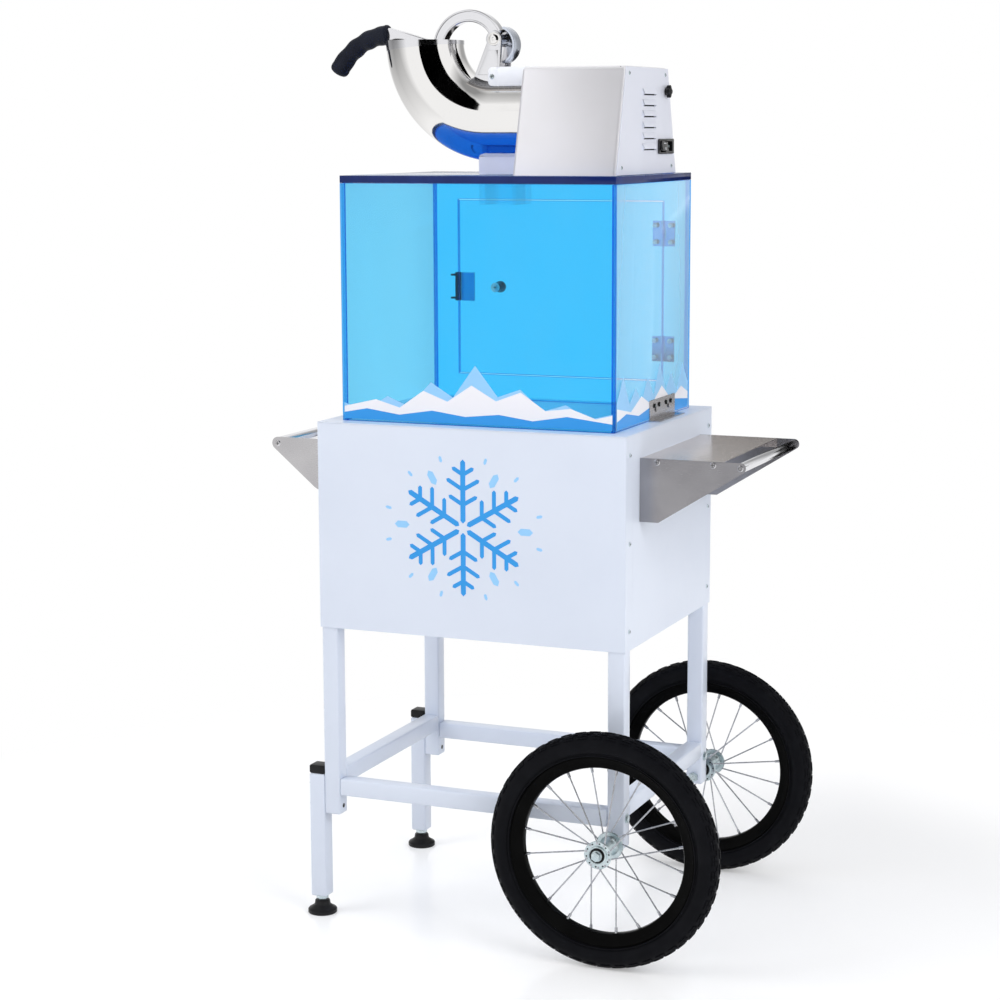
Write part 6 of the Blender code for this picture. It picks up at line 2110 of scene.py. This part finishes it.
@dataclass
class Studio:
    """Pale floor, white surroundings, soft lamps and the camera."""

    camera_place: Place = (1.52335, -3.7768, 1.3904)
    yaw: float = math.radians(22.85)
    pitch: float = math.radians(-9.09)
    roll: float = math.radians(-0.2)
    lens: float = 83.31
    floor_half: float = 9.0
    floor_rough: tuple[float, float] = (0.16, 0.22)
    floor_lift: float = 0.2
    floor_fade: tuple[float, float] = (0.85, 1.55)
    sky: tuple[float, float] = (0.73, 0.4)
    head: Place = (-0.15, 0.0, 1.46)

    def build_floor(self) -> None:
        """Build the floor: pale, with a faint gloss, and white further out."""
        bm = bmesh.new()
        bmesh.ops.create_grid(bm, x_segments=1, y_segments=1, size=self.floor_half)
        floor = new_object("studio_floor", bm)
        graph = Graph("studio_floor")
        shader = graph.add(
            "BsdfPrincipled", Base_Color=(0.94, 0.94, 0.95, 1.0), IOR=1.38,
            Roughness=graph.span(graph.noise(6.0, 3.0), *self.floor_rough),
        )
        reach = graph.add("VectorMath", operation="LENGTH")
        graph.feed(reach.inputs[0], graph.places.outputs["Object"])
        fade = graph.span(reach.outputs["Value"], 0.1, 1.0, *self.floor_fade)
        seen = graph.seen()
        lift = graph.wire("Math", seen, self.floor_lift, operation="MULTIPLY")
        glow = graph.add("Emission", Color=WHITE, Strength=lift)
        white = graph.add("Emission", Color=WHITE, Strength=1.0)
        share = graph.wire("Math", seen, fade, operation="MULTIPLY")
        total = graph.wire("AddShader", shader.outputs[0], glow.outputs[0])
        floor.data.materials.append(
            graph.close(graph.wire("MixShader", share, total, white.outputs[0])))

    def build_card(self, name: str, corners: Sequence[tuple[float, float]], reach: float,
                   strength: float, soft: float) -> None:
        """Build a card beside the set that only reflections see.

        Args:
            name: Name of the card.
            corners: Azimuth and rise of its corners, in degrees, seen from the elbow.
            reach: Distance from the elbow.
            strength: How bright it is; 0 is black.
            soft: Share of its radius over which it fades into the white around it.
        """
        head = Vector(self.head)
        middle = Vector()
        for turn, rise in corners:
            middle += self.way(turn, rise) / len(corners)
        rings = []
        bm = bmesh.new()
        shade = bm.verts.layers.float.new("shade")
        for share, value in ((1.0, 0.0), (1.0 - soft, 1.0)):
            ring = []
            for turn, rise in corners:
                way = middle.lerp(self.way(turn, rise), share).normalized()
                vert = bm.verts.new(head + way * reach)
                vert[shade] = value
                ring.append(vert)
            rings.append(ring)
        hub = bm.verts.new(head + middle.normalized() * reach)
        hub[shade] = 1.0
        for index, vert in enumerate(rings[0]):
            after = (index + 1) % len(corners)
            bm.faces.new((vert, rings[0][after], rings[1][after], rings[1][index]))
            bm.faces.new((rings[1][index], rings[1][after], hub))
        card = new_object(name, bm)
        graph = Graph(name)
        depth = graph.add("Attribute", attribute_name="shade")
        glow = graph.add("Emission", Strength=graph.span(depth.outputs["Fac"], 1.0, strength))
        card.data.materials.append(graph.close(glow.outputs[0]))
        card.visible_camera = card.visible_diffuse = False
        card.visible_transmission = card.visible_shadow = False

    @staticmethod
    def way(azimuth: float, rise: float) -> Vector:
        """Direction at an azimuth from the front and a rise, both in degrees."""
        turn, lift = math.radians(azimuth), math.radians(rise)
        return Vector((math.sin(turn) * math.cos(lift), -math.cos(turn) * math.cos(lift),
                       math.sin(lift)))

    def build_world(self) -> None:
        """Make the surroundings white to the camera and level to the lamps."""
        graph = Graph("studio_world", True)
        split = graph.add("SeparateXYZ", Vector=graph.places.outputs["Generated"])
        level = graph.span(split.outputs["Z"], *self.sky)
        lit = graph.add("Background", Color=(0.97, 0.98, 1.0, 1.0), Strength=level)
        white = graph.add("Background", Color=WHITE, Strength=1.0)
        bpy.context.scene.world = graph.close(
            graph.wire("MixShader", graph.seen(), lit.outputs[0], white.outputs[0]))

    def build_lamp(self, name: str, place: Point, aim: Point, size: float, power: float) -> None:
        """Add a soft square lamp.

        Args:
            name: Name of the lamp.
            place: Middle of the lamp.
            aim: Point that it faces.
            size: Its side.
            power: Its power in watts.
        """
        data = bpy.data.lights.new(name, "AREA")
        data.shape = "SQUARE"
        data.size = size
        data.energy = power
        lamp = bpy.data.objects.new(name, data)
        lamp.location = place
        lamp.rotation_euler = (Vector(place) - Vector(aim)).to_track_quat("Z", "Y").to_euler()
        lamp.visible_glossy = False
        bpy.context.scene.collection.objects.link(lamp)

    def build_camera(self) -> None:
        """Place the camera where the photo was taken from."""
        flat = Vector((math.cos(self.yaw), math.sin(self.yaw), 0))
        ahead = Vector((-math.sin(self.yaw) * math.cos(self.pitch),
                        math.cos(self.yaw) * math.cos(self.pitch), math.sin(self.pitch)))
        over = flat.cross(ahead)
        right = math.cos(self.roll) * flat + math.sin(self.roll) * over
        over = -math.sin(self.roll) * flat + math.cos(self.roll) * over
        turn = Matrix((right, over, -ahead)).transposed().to_4x4()
        data = bpy.data.cameras.new("studio_camera")
        data.lens = self.lens
        data.sensor_width = 36.0
        camera = bpy.data.objects.new("studio_camera", data)
        camera.matrix_world = Matrix.Translation(self.camera_place) @ turn
        bpy.context.scene.collection.objects.link(camera)
        bpy.context.scene.camera = camera

    def build(self) -> None:
        """Build the whole studio."""
        self.build_floor()
        self.build_world()
        for name, place, size, power in (
            ("lamp_left", (-2.6, -2.2, 2.7), 2.2, 50.0),
            ("lamp_right", (2.8, -1.4, 2.3), 2.0, 52.0),
            ("lamp_above", (0.2, 0.6, 3.6), 2.6, 26.0),
        ):
            self.build_lamp(name, place, (0.0, 0.0, 0.8), size, power)
        for name, reach, strength, soft, corners in (
            ("card_dark_front", 2.2, 0.0, 0.03, (
                (4, -8), (4, 5), (2.4, 11), (-3, 17), (-7, 23), (-11, 26.5), (-15.5, 28.3),
                (-21.2, 29.2), (-21.5, 33), (-23, 40), (-25.5, 47), (-22, 59), (2, 68),
                (40, 62), (48, 52), (55, 41), (59, 23), (59, 7), (59, -8))),
            ("card_dark_right", 2.2, 0.0, 0.05, (
                (106, -8), (106.5, 7), (111, 24), (117, 37), (131, 53), (156, 62), (168, 63),
                (153, 46), (143, 32), (134, 22), (129, 7), (128, -8))),
            ("card_grey_left", 2.5, 0.24, 0.85, (
                (-38, 46), (-34, 10), (-36, -20), (-90, -34), (-150, -20), (-150, 40),
                (-90, 58))),
            ("card_grey_above", 2.6, 0.3, 0.75, (
                (-90, 44), (-40, 44), (0, 50), (60, 50), (100, 40), (140, 50), (-160, 60))),
            ("card_grey_back", 2.5, 0.4, 0.7, (
                (128, 45), (132, -14), (165, -20), (-165, -14), (-165, 40))),
            ("card_dark_back", 2.2, 0.0, 0.1, (
                (150, -5), (150, -32), (170, -34), (190, -32), (190, -5), (170, -4))),
        ):
            self.build_card(name, corners, reach, strength, soft)
        self.build_camera()
        bpy.context.scene.view_settings.view_transform = "Standard"


def build_cart() -> None:
    """Build the steel cart with its wheels, feet, cabinet, handle and shelf."""
    SteelFrame().build()
    for face, body in (("front", Body.FRONT_FOOT), ("back", Body.BACK_FOOT)):
        LevellingFoot(body=body, face=face).build()
    Cabinet().build()
    BarBetweenBrackets(screws=((-0.42875, 0.8405),)).build()
    SideShelf().build()
    for face, side, body in (("front", -1, Body.FRONT_WHEEL), ("back", 1, Body.BACK_WHEEL)):
        SpokedWheel(body=body, face=face, side=side).build()


def build_crusher() -> None:
    """Build the ice case and the crusher head on top of it."""
    IceCase().build()
    RearDoor().build()
    Elbow().build()
    LeverPost().build()
    CrushingLever().build()
    MotorHousing().build()


def main() -> None:
    """Build the scene."""
    logging.basicConfig(level=logging.INFO, format="%(name)s %(message)s")
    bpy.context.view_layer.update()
    build_cart()
    build_crusher()
    Studio().build()


if __name__ == "__main__":
    main()
